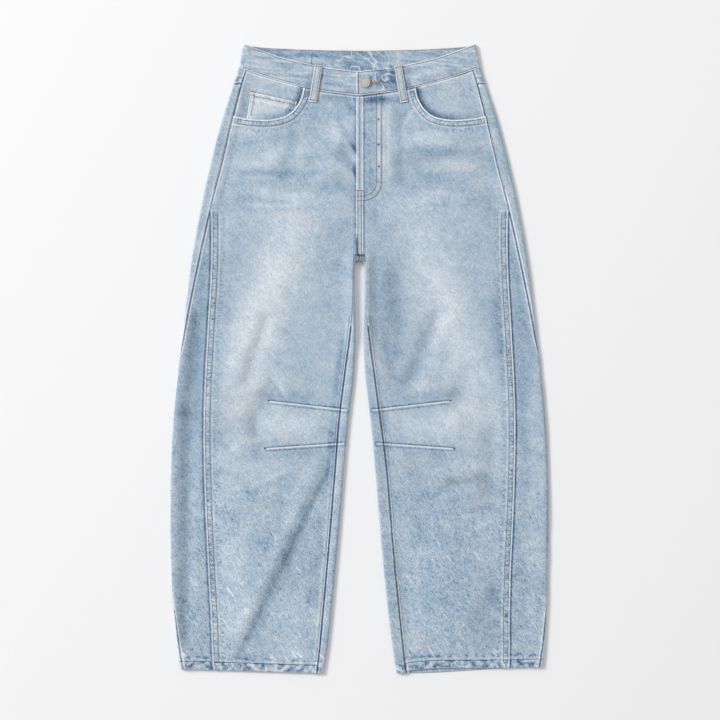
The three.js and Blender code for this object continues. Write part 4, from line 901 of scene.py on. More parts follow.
def back_place(side):
    """Grid of a back panel: round the outer fold, flat under the leg, and up the inner fold to
    the inseam."""
    body, table_rows = back_rows(side)
    quarter = FOLD_RADIUS * np.pi / 2
    lead, flat, inner = 20, 14, 16
    columns = lead + flat + inner
    tuck = 6.0

    def place(column, row):
        side_y, fold_x, fold_y, seam, seam_y = table_rows[row.astype(int)].T
        y = side_y + hem_shift(side, 1.0, side_y, back=True)
        edge = turn_for(side_at(y))
        near = edge - 6.0
        last = np.minimum(-quarter - 2, near - 3)
        share = np.clip(column / (lead - 1), 0, 1)
        turn = np.where(share < 0.55, mix(edge + tuck, near, share / 0.55),
                        mix(near, last, (share - 0.55) / 0.45))
        from_seam = edge - turn
        lift = -1.15 * ease(1.0, -1.0, from_seam) - 0.25 * ease(3.0, 0.5, from_seam)
        lift += 0.22 * bell(from_seam, 3.4, 1.6)
        lead_x, lead_z = fold_point(side, y, turn, lift, plain=True)
        # the flat underside
        run = np.hypot(seam - fold_x, seam_y - fold_y)
        ux, uy = (seam - fold_x) / run, (seam_y - fold_y) / run
        edge_x = outer_at(side, y) - FOLD_RADIUS - (np.abs(last) - quarter)
        end_x, end_y = fold_x + ux * FOLD_RADIUS, fold_y + uy * FOLD_RADIUS
        share = np.clip((column - lead + 1) / flat, 0, 1)
        flat_x, flat_y = mix(edge_x, end_x, share), mix(side_y, end_y, share)
        across = (flat_x - end_x) / np.maximum(edge_x - end_x, 1)
        flat_y = flat_y + hem_shift(side, across, flat_y, back=True)
        flat_z = under_z(side, flat_x, flat_y)
        # the fold between the legs, up to the inseam and a little under the front
        length = np.pi * FOLD_RADIUS + np.maximum(run - FOLD_RADIUS + 5.0, 1.0)
        walked = np.clip((column - lead - flat + 1) / inner, 0, 1) * length
        angle = np.clip(walked / FOLD_RADIUS, 0, np.pi)
        beyond = np.maximum(0, walked - np.pi * FOLD_RADIUS)
        reach = FOLD_RADIUS - FOLD_RADIUS * np.sin(angle) + beyond
        in_x, in_y = fold_x + ux * reach, fold_y + uy * reach
        in_y = in_y + hem_shift(side, 0.0, in_y, back=True)
        to_seam = run - reach
        sunk = -0.42 * ease(3.5, 0.5, to_seam) - 0.9 * ease(0.5, -2.0, to_seam)
        upper = form_z(side, in_x, in_y) + sunk
        curl = FOLD_RADIUS * (1 - np.cos(angle)) * (1 + inner_roll(in_y))
        in_z = np.where(beyond > 0, upper, curl)
        for dart in rows_of(DARTS):
            slope = (dart["seam_y"] - dart["tip_y"]) / (inseam_x(side, dart["seam_y"]) - dart["tip_x"])
            line = dart["seam_y"] + slope * (in_x - seam)
            in_z = in_z + 0.5 * bell(in_y, line, 2.6) * (angle > 2)
        in_lead = column <= lead - 1
        in_flat = (~in_lead) & (column <= lead + flat - 1)
        px = np.where(in_lead, lead_x, np.where(in_flat, flat_x, in_x))
        py = np.where(in_lead, y, np.where(in_flat, flat_y, in_y))
        pz = np.where(in_lead, lead_z, np.where(in_flat, flat_z, in_z))
        by_crotch = ease(50, 110, py) * ease(40, 24, np.abs(px))
        single = np.where(in_flat, FAR, np.abs(to_seam) + FAR * by_crotch)
        single = np.where(in_lead, np.abs(from_seam), single)
        in_fold = (1 - in_lead) * (1 - in_flat)
        cloth_tone = mix(back_tone(side, px, py), wash_and_shade_at(side * px, py), by_crotch * in_fold)
        cloth_tone = cloth_tone + 0.22
        # The tone is darker along the inseam as painted shade under the front's edge, and the shade is
        # painted shade on the seat at the crotch
        marks = marks_of(
            py, cloth_tone - 1.5 * ease(4.2, 1.2, single) * (1 - in_lead),
            shade=0.5 * ease(154, 160, py) * by_crotch * in_fold, single_seam=single,
            dart=np.where(in_fold > 0, dart_distance(side, px, py), FAR),
            hem=np.where(in_lead | in_flat, FAR, py - HEM_END)
        )
        return (side * px, py, pz), marks

    def keep(column, row):
        return row > body or column < lead + flat - 1

    return columns, len(table_rows), place, keep


def yoke_place(side):
    """Grid of a back yoke, from its end on the front of the hip to the centre back."""
    quarter = FOLD_RADIUS * np.pi / 2
    lead, flat = 20, 16
    rows = 26

    def place(column, row):
        share = row / (rows - 1)
        y = mix(BAND_LOW_Y, YOKE_SIDE_Y, share)
        start = turn_for(side_at(y)) + 5.0
        end = -quarter - 2
        turn = mix(start, end, np.clip(column / (lead - 1), 0, 1))
        from_seam = (start - 5.0) - turn
        to_seam = (1 - share) * YOKE_DEPTH
        lift = -1.15 * ease(1.0, -1.0, from_seam)
        lift = lift + 0.35 * ease(0.62, 0.72, share) - round_edge(to_seam) * 0.6
        x, z = fold_point(side, y, turn, lift, plain=True)
        edge_x = outer_at(side, y) - FOLD_RADIUS - 2
        flat_share = np.clip((column - lead + 1) / flat, 0, 1)
        flat_x = mix(edge_x, 0.15, flat_share)
        centre_y = mix(464.0, YOKE_CENTRE_Y, share)
        flat_y = mix(y, centre_y, flat_share)
        on_front = turn > 0
        front_top = smooth(BAND_LOW_FRONT, "y", x) + 0.6
        y = np.where(on_front, mix(front_top, YOKE_SIDE_Y, share), y)
        in_lead = column <= lead - 1
        px = np.where(in_lead, x, flat_x)
        py = np.where(in_lead, y, flat_y)
        pz = np.where(in_lead, z, under_z(side, flat_x, flat_y))
        marks = marks_of(
            px, back_tone(side, px, py), double_seam=np.where(in_lead, to_seam, FAR),
            single_seam=np.where(in_lead, np.abs(from_seam), FAR)
        )
        return (side * px, py, pz), marks

    return lead + flat, rows, place


def pocket_z(side, x, y):
    """Height of the facing seen in the pocket opening."""
    scoop, _ = along_line(scoop_line(side), x, y)
    puff = 0.25 * np.sin((x + y) / 13.0) * np.sin(y / 19.0)
    return form_z(side, x, y) - 0.55 - 0.85 * ease(13, 2, scoop) + puff * ease(2, 12, scoop)


def pocket_wash_and_shade(side, x, y):
    """Wash inside the pocket opening, bluer along the edge of the scoop as painted shade under it."""
    scoop, _ = along_line(scoop_line(side), x, y)
    steep = ease(190, 118, x)
    return wash_and_shade_at(side * x, y) - (0.30 + 1.2 * steep) * ease(14, 1, scoop) + 0.10


def facing_place(side):
    """Grid of a pocket facing, from just under the scoop up to the waistband."""
    columns, rows = 56, 40
    scoop = scoop_line(side)
    low = offset_line(scoop, 8.0)

    def place(column, row):
        u, v = column / (columns - 1), row / (rows - 1)
        steps = np.linspace(0, 1, len(scoop))
        low_x, low_y = np.interp(u, steps, low[:, 0]), np.interp(u, steps, low[:, 1])
        end_x = float(seam_x(side, 472.0)) - 1.0
        top_x = mix(80.0, end_x, u)
        top_y = smooth(BAND_LOW_FRONT, "y", top_x) + 0.8
        x, y = mix(low_x, top_x, v), mix(low_y, top_y, v)
        limit = seam_x(side, y) - 0.2
        x = np.minimum(x, limit)
        lap = limit - x
        z = pocket_z(side, x, y) + 0.45 * ease(9, 6, lap) - round_edge(lap, 0.9)
        # Painted shade under the edge of the scoop, and on the right facing by the side seam
        under_edge = ease(10, 0, along_line(scoop, x, y)[0])
        shade = 0.30 * ease(190, 118, x) * under_edge + 0.16 * bell(x, 190, 6) * (side < 0)
        to_seam = np.minimum(lap, np.abs(top_y - y))
        marks = marks_of(y, pocket_wash_and_shade(side, x, y), shade, single_seam=to_seam)
        return (side * x, y, z), marks

    return columns, rows, place


def coin_place():
    """Grid of the coin pocket, which goes down under the scoop of the right pocket."""
    columns, rows = 60, 30
    side = -1

    def place(column, row):
        u, v = column / (columns - 1), row / (rows - 1)
        scoop = scoop_line(side)
        top_x, top_y, low_x = (mix(*COIN[name], u) for name in ("top_x", "top_y", "low_x"))
        low_y = np.interp(low_x, scoop[:, 0], scoop[:, 1]) - 3.0
        x, y = mix(top_x, low_x, v), mix(top_y, np.minimum(low_y, top_y - 2), v)
        edge_top = v * (top_y - low_y)
        edge_side = np.minimum(u, 1 - u) * COIN_WIDTH
        edge = np.minimum(edge_top, edge_side)
        band = 0.3 * ease(9.5, 8.4, edge_top)
        band -= 0.22 * (bell(edge_top, 2.0, 0.8) + bell(edge_top, 8.0, 0.8))
        z = pocket_z(side, x, y) + 0.95 + band - round_edge(edge, 0.8)
        tone = pocket_wash_and_shade(side, x, y) + 0.62
        return (side * x, y, z), marks_of(x, tone, double_seam=edge_top, single_seam=edge_side)

    return columns, rows, place


# Waistband and belt loops
def band_stations():
    """Places along the waistband from its under end on the right round to its over end."""
    front = spaced(-TAB_END, (192.0, 3.0), (194.2, 1.1))
    cap = np.linspace(90, -90, 13)[1:-1]
    back = spaced(194.2, (0.0, 5.0))
    stations = [(-1, "front", x, 0.0) for x in front]
    stations += [(-1, "cap", 0.0, math.radians(a)) for a in cap]
    stations += [(-1, "back", x, 0.0) for x in back]
    stations += [(1, "back", x, 0.0) for x in back[::-1][1:]]
    stations += [(1, "cap", 0.0, math.radians(a)) for a in cap[::-1]]
    over = spaced(194.2, (192.0, 1.1), (47.0, 3.0), (29.0, 1.5), (-3.0, 2.4), (-CENTRE_FRONT, 0.5))
    stations += [(1, "front", x, 0.0) for x in over]
    return stations


def band_point(side, part, low_x, angle, share, depth):
    """A point of the waistband in mm. Share goes from its lower to its upper edge, and depth
    from its outside to its inside."""
    scale = BAND_TOP_X / BAND_LOW_X
    outer = mix(BAND_LOW_X, BAND_TOP_X, share)
    centre = outer - BAND_RADIUS
    if part == "cap":
        y = mix(BAND_LOW_Y, BAND_TOP_Y, share)
        reach = BAND_RADIUS - depth * BAND_WALL
        return side * (centre + reach * math.cos(angle)), y, BAND_RADIUS + reach * math.sin(angle)
    low, top = (BAND_LOW_BACK, BAND_TOP_BACK) if part == "back" else (BAND_LOW_FRONT, BAND_TOP_FRONT)
    size = abs(low_x)
    y = mix(float(smooth(low, "y", size)), float(smooth(top, "y", size * scale)), share)
    reach = min(size * mix(1, scale, share), centre)
    from_fold = outer - reach
    if part == "back":
        under = LIFT * float(ease(LIFT_FROM_FOLD, LIFT_FULL, from_fold))
        return side * reach, y, under + depth * BAND_WALL
    plain = LIFT + 2 * BAND_WALL + LAYER_GAP
    z = mix(2 * BAND_RADIUS, plain, float(ease(BAND_RADIUS, LIFT_FULL, from_fold)))
    if side > 0:
        z += (BAND_WALL + 0.3) * float(ease(OVERLAP_RAMP, OVERLAP_FLAT, low_x))
    x = side * (-reach if low_x < 0 else reach)
    away = share * (1 - share) * 4
    ripple = 0.22 * math.sin(x / 14 + 2.2 * share) * math.sin(x / 37 + 1)
    groove = 0.25 * sum(float(bell(share, line, 0.022)) for line in BAND_STITCH)
    swell = away * (0.3 + ripple) - groove
    return x, y, z + swell * (1 - depth) - depth * BAND_WALL


def strip_profile(edge, outer_count, inner_count, turn_count):
    """Round the section of a strip: share of its width and depth of the cloth."""
    outside = [(s, 0.0) for s in np.linspace(edge, 1 - edge, outer_count)]
    inside = [(s, 1.0) for s in np.linspace(1 - edge, edge, inner_count)]
    turn = np.linspace(0, math.pi, turn_count)[1:-1]
    over = [(1 - edge + edge * math.sin(a), (1 - math.cos(a)) / 2) for a in turn]
    under = [(edge - edge * math.sin(a), (1 + math.cos(a)) / 2) for a in turn]
    return outside + over + inside + under


def strip_piece(name, stations, profile, point, marks, material, nodes):
    """A strip of doubled cloth: a closed section carried along a line, with filled ends."""
    bm = grid_bmesh(len(profile) + 1, len(stations))
    layers = {mark: bm.verts.layers.float.new(mark) for mark in MARKS}
    for vert in bm.verts:
        k, j = round(vert.co.x) % len(profile), round(vert.co.y)
        share, depth = profile[k]
        x, y, z = point(stations[j], share, depth)
        for mark, value in marks(stations[j], j, share, depth, x, y).items():
            vert[layers[mark]] = value
        vert.co = (x * MM, y * MM, z * MM)
    bmesh.ops.remove_doubles(bm, verts=bm.verts, dist=1e-6)
    ends = [edge for edge in bm.edges if edge.is_boundary]
    bmesh.ops.holes_fill(bm, edges=ends, sides=0)
    bmesh.ops.recalc_face_normals(bm, faces=bm.faces)
    finish_object(bm, name, material, nodes)


def band_surface(side, low_x, share, inside=False, part="front"):
    """A place on the waistband for stitching, just proud of the cloth."""
    x, y, z = band_point(side, part, low_x, 0.0, share, 1.0 if inside else 0.0)
    return x, y, z + 0.34


def loop_across(loop):
    """Direction across a front belt loop in plan."""
    run = Vector((loop["low_x"] - loop["top_x"], loop["low_y"] - loop["top_y"])).normalized()
    return Vector((-run.y, run.x))


def loop_frame(loop, share):
    """Centre of a front belt loop and its resting height at a share of its length."""
    x = mix(loop["top_x"], loop["low_x"], share)
    y = mix(loop["top_y"], loop["low_y"], share)
    side = -1 if x < 0 else 1
    band_z = LIFT + 2 * BAND_WALL + LAYER_GAP + 0.35
    low = float(smooth(BAND_LOW_FRONT, "y", abs(x)))
    panel = float(front_z(side, np.array([abs(x)]), np.array([min(y, low - 3)]))[0])
    on_band = float(ease(low - 3.5, low - 0.5, y))
    bow = 1.2 * math.sin(math.pi * min(1, share / 0.8))
    return x, y, mix(panel, band_z, on_band) + 0.1 + max(0, bow)


# Thread
class Stitcher:
    """Collects stitches of one thread, each a small lozenge pulled into the cloth."""

    BATCH = 64

    def __init__(self):
        self.bm = bmesh.new()
        self.batch = bmesh.new()
        self.count = 0

    def gather(self):
        """Adds the small batch to the whole, which keeps each operator quick."""
        mesh = bpy.data.meshes.new("batch")
        self.batch.to_mesh(mesh)
        self.bm.from_mesh(mesh)
        bpy.data.meshes.remove(mesh)
        self.batch.clear()

    def stitch(self, start, end, radius):
        start, end = Vector(start) * MM, Vector(end) * MM
        run = end - start
        if run.length < 1e-6:
            return
        turn = run.to_track_quat("Z", "Y").to_matrix().to_4x4()
        scale = Matrix.Diagonal((radius * MM, radius * MM, run.length / 2, 1))
        matrix = Matrix.Translation((start + end) / 2) @ turn @ scale
        bmesh.ops.create_uvsphere(self.batch, u_segments=5, v_segments=4, radius=1.0, matrix=matrix)
        self.count += 1
        if self.count % self.BATCH == 0:
            self.gather()

    def line(self, points, pitch=None, radius=None):
        """Running stitches along a line of 3D points."""
        thread = bpy.context.scene.trousers_thread
        pitch, radius = pitch or thread.pitch / MM, radius or thread.width / MM / 2
        points = np.array(points, float)
        lengths = run_lengths(points)
        count = max(1, int(lengths[-1] / pitch))
        step = lengths[-1] / count

        def at(length):
            return [float(np.interp(length, lengths, points[:, k])) for k in range(3)]

        for k in range(count):
            self.stitch(at(k * step), at((k + thread.share) * step), radius)

    def tack(self, centre, along, length, width=2.2, pitch=0.75):
        """Bar tack: close stitches across a short line. Along is its direction in plan."""
        along = Vector((*along, 0)).normalized()
        across = Vector((-along.y, along.x, 0))
        for k in range(int(length / pitch) + 1):
            middle = Vector(centre) + along * (k * pitch - length / 2)
            lean = along * pitch * 0.35
            self.stitch(middle - across * width / 2 - lean, middle + across * width / 2 + lean, 0.33)

    def finish(self, name, colour):
        self.gather()
        self.batch.free()
        return finish_object(self.bm, name, thread_material(name, colour))


def on_front(side, points, lift=0.28):
    """Lays plan points, x from the centre line, on the front panel."""
    points = np.array(points, float)
    z = front_z(side, points[:, 0], points[:, 1]) + lift
    return np.column_stack([side * points[:, 0], points[:, 1], z])


def on_fold(side, y, turns, lift, plain=False):
    """Places round the outer fold, at lengths from its outermost line."""
    x, z = fold_point(side, y, turns, lift, plain)
    return np.column_stack([side * x, y, z])


def dense(points, spacing=2.0):
    """A line with its points no further apart than spacing."""
    points = np.array(points, float)
    lengths = run_lengths(points)
    steps = np.linspace(0, lengths[-1], max(2, int(lengths[-1] / spacing)))
    return np.column_stack([np.interp(steps, lengths, points[:, k]) for k in range(points.shape[1])])


# Materials
class Nodes:
    """Short way to add and join the nodes of one tree."""

    def __init__(self, tree):
        self.tree = tree
        self.column = 0

    def add(self, kind, **settings):
        node = self.tree.nodes.new(kind)
        node.location = (180 * self.column, 0)
        self.column += 1
        for key, value in settings.items():
            setattr(node, key, value)
        return node

    def join(self, source, target):
        self.tree.links.new(source, target)

    def value(self, operation, *values):
        node = self.add("ShaderNodeMath", operation=operation)
        for socket, given in zip(node.inputs, values):
            if isinstance(given, (int, float)):
                socket.default_value = given
            else:
                self.join(given, socket)
        return node.outputs[0]

    def plus(self, first, *others):
        for other in others:
            first = self.value("ADD", first, other)
        return first

    def minus(self, a, b):
        return self.value("SUBTRACT", a, b)

    def times(self, a, b):
        return self.value("MULTIPLY", a, b)

    def turned(self, vector, turn, length=1.0):
        """Coordinates turned in plan, then drawn out along their own Y."""
        mapping = self.add("ShaderNodeMapping", vector_type="TEXTURE")
        mapping.inputs["Scale"].default_value = (1, length, 1)
        mapping.inputs["Rotation"].default_value = (0, 0, math.radians(turn))
        self.join(vector, mapping.inputs["Vector"])
        return mapping.outputs[0]

    def noise(self, vector, scale, length=1.0, turn=0.0, detail=3.0, roughness=0.55):
        node = self.add("ShaderNodeTexNoise")
        node.inputs["Scale"].default_value = scale
        node.inputs["Detail"].default_value = detail
        node.inputs["Roughness"].default_value = roughness
        self.join(self.turned(vector, turn, length), node.inputs["Vector"])
        return node.outputs["Fac"]

    def uneven(self, across, along):
        """Noise over two values, such as the distance from a seam and the run along it."""
        place = self.add("ShaderNodeCombineXYZ")
        self.join(across, place.inputs["X"])
        self.join(along, place.inputs["Y"])
        node = self.add("ShaderNodeTexNoise")
        node.inputs["Scale"].default_value = 1.0
        node.inputs["Detail"].default_value = 2.0
        self.join(place.outputs[0], node.inputs["Vector"])
        return node.outputs["Fac"]

    def spread(self, value, low, high, out_low=0.0, out_high=1.0):
        node = self.add("ShaderNodeMapRange")
        node.inputs["From Min"].default_value = low
        node.inputs["From Max"].default_value = high
        node.inputs["To Min"].default_value = out_low
        node.inputs["To Max"].default_value = out_high
        self.join(value, node.inputs["Value"])
        return node.outputs["Result"]

    def attribute(self, name):
        return self.add("ShaderNodeAttribute", attribute_name=name).outputs["Fac"]

    def peak(self, value, middle, width):
        """1 where a value is at the middle, falling to 0 a width away."""
        away = self.value("ABSOLUTE", self.value("SUBTRACT", value, middle))
        return self.spread(away, 0.0, width, 1.0, 0.0)


def node_group(name, inputs, outputs):
    group = bpy.data.node_groups.new(name, "ShaderNodeTree")
    for label, kind, default in inputs:
        socket = group.interface.new_socket(name=label, in_out="INPUT", socket_type=kind)
        if default is not None:
            socket.default_value = default
    for label, kind in outputs:
        group.interface.new_socket(name=label, in_out="OUTPUT", socket_type=kind)
    nodes = Nodes(group)
    return group, nodes, nodes.add("NodeGroupInput"), nodes.add("NodeGroupOutput")


def weave_group():
    """Twill lines for the relief, and the uneven grain that the yarn gives the colour."""
    found = bpy.data.node_groups.get("denim weave")
    if found:
        return found
    group, n, given, out = node_group(
        "denim weave",
        [("Vector", "NodeSocketVector", None)],
        [("Height", "NodeSocketFloat"), ("Grain", "NodeSocketFloat"), ("Mottle", "NodeSocketFloat")],
    )
    vector = given.outputs["Vector"]
    wave = n.add("ShaderNodeTexWave", wave_type="BANDS", bands_direction="X")
    wave.inputs["Scale"].default_value = 250
    wave.inputs["Distortion"].default_value = 1.2
    wave.inputs["Detail"].default_value = 1
    wave.inputs["Detail Scale"].default_value = 2.0
    n.join(n.turned(vector, 38), wave.inputs["Vector"])
    fuzz = n.noise(vector, 1500, detail=2)
    height = n.plus(wave.outputs["Fac"], n.times(fuzz, 0.6))
    n.join(height, out.inputs["Height"])
    split = n.add("ShaderNodeSeparateXYZ")
    n.join(vector, split.inputs[0])
    lower = n.spread(split.outputs["Y"], -0.10, -0.27, 0.60, 0.84)
    fine = n.noise(vector, 720, 2.4, 36, detail=1)
    diagonal = n.noise(vector, 380, 3.6, 40, detail=1)
    crossing = n.noise(vector, 620, 2.2, -30, detail=1)
    grain = n.plus(n.times(fine, 0.50), n.times(diagonal, 0.24))
    grain = n.plus(grain, n.times(crossing, 0.26))
    grain = n.times(n.spread(grain, 0.42, 0.58, -1, 1), lower)
    # long pale scratches and short dark flecks on the lower leg
    scratch = n.spread(n.noise(vector, 330, 12.0, 34, detail=1), 0.66, 0.74, 0, 1.6)
    fleck = n.spread(n.noise(vector, 300, 3.2, 40, detail=1), 0.34, 0.26, 0, 1.4)
    below = n.spread(split.outputs["Y"], -0.05, -0.34, 0.1, 1.0)
    marks = n.times(n.minus(scratch, fleck), below)
    n.join(n.plus(grain, marks), out.inputs["Grain"])
    cloud = n.noise(vector, 24, 1.3, 60, detail=3, roughness=0.6)
    patch = n.noise(vector, 85, 1.5, 50, detail=2, roughness=0.6)
    mottle = n.plus(n.times(cloud, 0.55), n.times(patch, 0.45))
    n.join(n.spread(mottle, 0.36, 0.64, -1, 1), out.inputs["Mottle"])
    return group


def seam_wear_and_shade_group():
    """Rubbed and unrubbed places beside a seam, and painted shade in its groove, from the distance and the
    run along it.
    """
    found = bpy.data.node_groups.get("seam wear and shade")
    if found:
        return found
    group, n, given, out = node_group(
        "seam wear and shade",
        [("Distance", "NodeSocketFloat", 60.0), ("Run", "NodeSocketFloat", 0.0),
         ("Second", "NodeSocketFloat", 11.6), ("Beyond", "NodeSocketFloat", 1.0)],
        [("Tone", "NodeSocketFloat")],
    )
    distance, run = given.outputs["Distance"], given.outputs["Run"]
    steps = n.uneven(n.times(distance, 0.10), n.times(run, 0.27))
    ladder = n.spread(steps, 0.38, 0.62, -1, 1)
    edge = n.times(n.peak(distance, 2.8, 1.8), 1.35)
    # Painted shade in the groove at the seam's edge
    ditch_shade = n.times(n.peak(distance, 0.0, 1.9), -1.5)
    second = given.outputs["Second"]
    inside = n.spread(n.minus(second, distance), 0.0, 2.0, 0.0, 1.0)
    inside = n.times(inside, n.spread(distance, 2.5, 4.5))
    rungs = n.times(inside, n.minus(n.times(ladder, 0.64), 0.16))
    past = n.minus(distance, second)
    rub = n.times(n.peak(past, 2.6, 2.4), 0.45)
    speckle = n.minus(n.times(ladder, 0.45), 0.18)
    spots = n.times(n.peak(past, 8.0, 6.0), speckle)
    past_edge = n.plus(rungs, n.plus(rub, spots))
    past_edge = n.times(past_edge, given.outputs["Beyond"])
    total = n.plus(n.plus(edge, ditch_shade), past_edge)
    n.join(total, out.inputs["Tone"])
    return group


def denim_material(name, tint, streaks=0.0):
    """Light washed denim. Tone follows the wash painted on the piece and its seams."""
    found = bpy.data.materials.get(name)
    if found:
        return found
    wash = bpy.context.scene.trousers_wash
    material = bpy.data.materials.new(name)
    material.use_nodes = True
    tree = material.node_tree
    shader = tree.nodes["Principled BSDF"]
    n = Nodes(tree)
    coordinates = n.add("ShaderNodeTexCoord").outputs["Object"]
    weave = n.add("ShaderNodeGroup", node_tree=weave_group())
    n.join(coordinates, weave.inputs["Vector"])
    double = n.add("ShaderNodeGroup", node_tree=seam_wear_and_shade_group())
    n.join(n.attribute("double_seam"), double.inputs["Distance"])
    n.join(n.attribute("double_run"), double.inputs["Run"])
    single = n.add("ShaderNodeGroup", node_tree=seam_wear_and_shade_group())
    single.inputs["Second"].default_value = 4.5
    single.inputs["Beyond"].default_value = 0.35
    n.join(n.attribute("single_seam"), single.inputs["Distance"])
    n.join(n.attribute("double_run"), single.inputs["Run"])
    dart = n.attribute("dart")
    dart_tone = n.minus(n.times(n.peak(dart, 0, 1.7), 1.6), n.times(n.peak(dart, 3.4, 2.0), 0.8))
    hem = n.attribute("hem")
    split = n.add("ShaderNodeSeparateXYZ")
    n.join(coordinates, split.inputs[0])
    twist = n.uneven(n.times(split.outputs["X"], 105), n.times(hem, 0.11))
    rope = n.times(n.spread(twist, 0.38, 0.60, -1.1, 0.65), n.spread(hem, 13.0, 14.6, 1, 0))
    dashes = n.times(n.spread(twist, 0.52, 0.40, 0.0, 1.1), n.peak(hem, 19.5, 5.0))
    rubbed = n.plus(n.times(n.peak(hem, 0.5, 1.6), 0.6), n.times(n.peak(hem, 16.5, 2.0), 0.45))
    pull = n.spread(n.noise(coordinates, 260, 9.0, 44, detail=1), 0.60, 0.70, 0, 1.5)
    hem_tone = n.minus(n.plus(rope, rubbed, n.times(pull, n.peak(hem, 26.0, 13.0))), dashes)
    tone = n.plus(
        n.times(n.attribute("tone"), wash.fade), tint,
        n.times(weave.outputs["Grain"], wash.grain),
        n.times(weave.outputs["Mottle"], wash.mottle),
    )
    if streaks:
        streak = n.spread(n.noise(coordinates, 150, 7.0, 84, detail=2), 0.38, 0.62, -streaks, streaks)
        branch = n.noise(coordinates, 80, 1.6, 24, detail=0.6)
        vein = n.spread(n.value("ABSOLUTE", n.minus(branch, 0.5)), 0.0, 0.05, 1.35, -0.15)
        tone = n.plus(tone, streak, n.times(vein, n.attribute("crinkle")))
    seams = n.plus(double.outputs["Tone"], single.outputs["Tone"], dart_tone, hem_tone)
    tone = n.plus(tone, n.times(seams, wash.wear))
    level = n.spread(tone, -1.0, 1.0)
    ramp = n.add("ShaderNodeValToRGB")
    stops = [(0.0, wash.deep), (0.30, wash.blue), (0.56, wash.middle), (1.0, wash.pale)]
    while len(ramp.color_ramp.elements) < len(stops):
        ramp.color_ramp.elements.new(0.5)
    for element, (position, colour) in zip(ramp.color_ramp.elements, stops):
        element.position = position
        element.color = (*colour, 1)
    n.join(level, ramp.inputs["Fac"])
    # Painted shade: the shade attribute darkens the colour
    shaded_colour = n.add("ShaderNodeVectorMath", operation="SCALE")
    n.join(ramp.outputs["Color"], shaded_colour.inputs[0])
    n.join(n.minus(1.0, n.attribute("shade")), shaded_colour.inputs["Scale"])
    n.join(shaded_colour.outputs[0], shader.inputs["Base Color"])
    bump = n.add("ShaderNodeBump")
    bump.inputs["Strength"].default_value = 0.35
    bump.inputs["Distance"].default_value = 0.0004
    n.join(weave.outputs["Height"], bump.inputs["Height"])
    soft = n.add("ShaderNodeBump")
    soft.inputs["Strength"].default_value = 0.5
    soft.inputs["Distance"].default_value = 0.0008
    n.join(weave.outputs["Mottle"], soft.inputs["Height"])
    n.join(bump.outputs["Normal"], soft.inputs["Normal"])
    n.join(soft.outputs["Normal"], shader.inputs["Normal"])
    shader.inputs["Roughness"].default_value = 0.9
    shader.inputs["Sheen Weight"].default_value = wash.sheen
    shader.inputs["Sheen Roughness"].default_value = 0.6
    return material


def plain_material(name, colour, roughness):
    found = bpy.data.materials.get(name)
    if found:
        return found
    material = bpy.data.materials.new(name)
    material.use_nodes = True
    shader = material.node_tree.nodes["Principled BSDF"]
    shader.inputs["Base Color"].default_value = (*colour, 1)
    shader.inputs["Roughness"].default_value = roughness
    return material


def thread_material(name, colour):
    """Spun thread with a slightly uneven colour."""
    material = plain_material(name, colour, 0.7)
    n = Nodes(material.node_tree)
    coordinates = n.add("ShaderNodeTexCoord").outputs["Object"]
    uneven = n.noise(coordinates, 90, detail=2)
    blend = n.add("ShaderNodeMix", data_type="RGBA")
    blend.inputs["A"].default_value = (*[0.62 * c for c in colour], 1)
    blend.inputs["B"].default_value = (*[min(1, 1.35 * c) for c in colour], 1)
    n.join(n.spread(uneven, 0.35, 0.65), blend.inputs["Factor"])
    shader = material.node_tree.nodes["Principled BSDF"]
    n.join(blend.outputs["Result"], shader.inputs["Base Color"])
    return material


def metal_material():
    """Matt greige metal with fine brushing."""
    wash = bpy.context.scene.trousers_wash
    material = plain_material("matt metal", wash.metal, 0.6)
    n = Nodes(material.node_tree)
    coordinates = n.add("ShaderNodeTexCoord").outputs["Object"]
    rub = n.noise(coordinates, 900, detail=3)
    shader = material.node_tree.nodes["Principled BSDF"]
    n.join(n.spread(rub, 0.3, 0.7, 0.55, 0.75), shader.inputs["Roughness"])
    return material


# What a user would change
def colour_property(name, text, default):
    return bpy.props.FloatVectorProperty(
        name=name, description=text, default=default, size=3, min=0, max=1, subtype="COLOR"
    )


def length_property(name, text, default, low, high):
    """A length, given here in millimetres and kept in metres."""
    return bpy.props.FloatProperty(
        name=name, description=text, default=default * MM, min=low * MM, max=high * MM,
        precision=5, subtype="DISTANCE"
    )


def strength_property(name, text, default, high, subtype="FACTOR"):
    return bpy.props.FloatProperty(
        name=name, description=text, default=default, min=0, max=high, subtype=subtype
    )


class TrousersCloth(bpy.types.PropertyGroup):
    thickness: length_property("Thickness", "Thickness of the denim", 1.0, 0.4, 1.2)
    crease: strength_property("Creases", "Strength of the small creases", 1.6, 2)
    pucker: length_property("Pucker", "Height of the ripple along stitched seams", 0.16, 0, 1)
    rope: length_property("Rope", "Height of the twist along the hem", 0.30, 0, 1)


class TrousersThread(bpy.types.PropertyGroup):
    pitch: length_property("Pitch", "Length of one stitch with its gap", 3.3, 1, 8)
    share: strength_property("Share", "Part of the pitch that the thread covers", 0.90, 1)
    width: length_property("Width", "Thickness of the thread", 0.95, 0.2, 2)
    seam: colour_property("Seams", "Thread of the seams", (0.085, 0.066, 0.062))
    hem: colour_property("Hem", "Thread of the hems", (0.030, 0.019, 0.016))
    tack: colour_property("Tacks", "Thread of the tacks and buttonhole", (0.52, 0.27, 0.10))


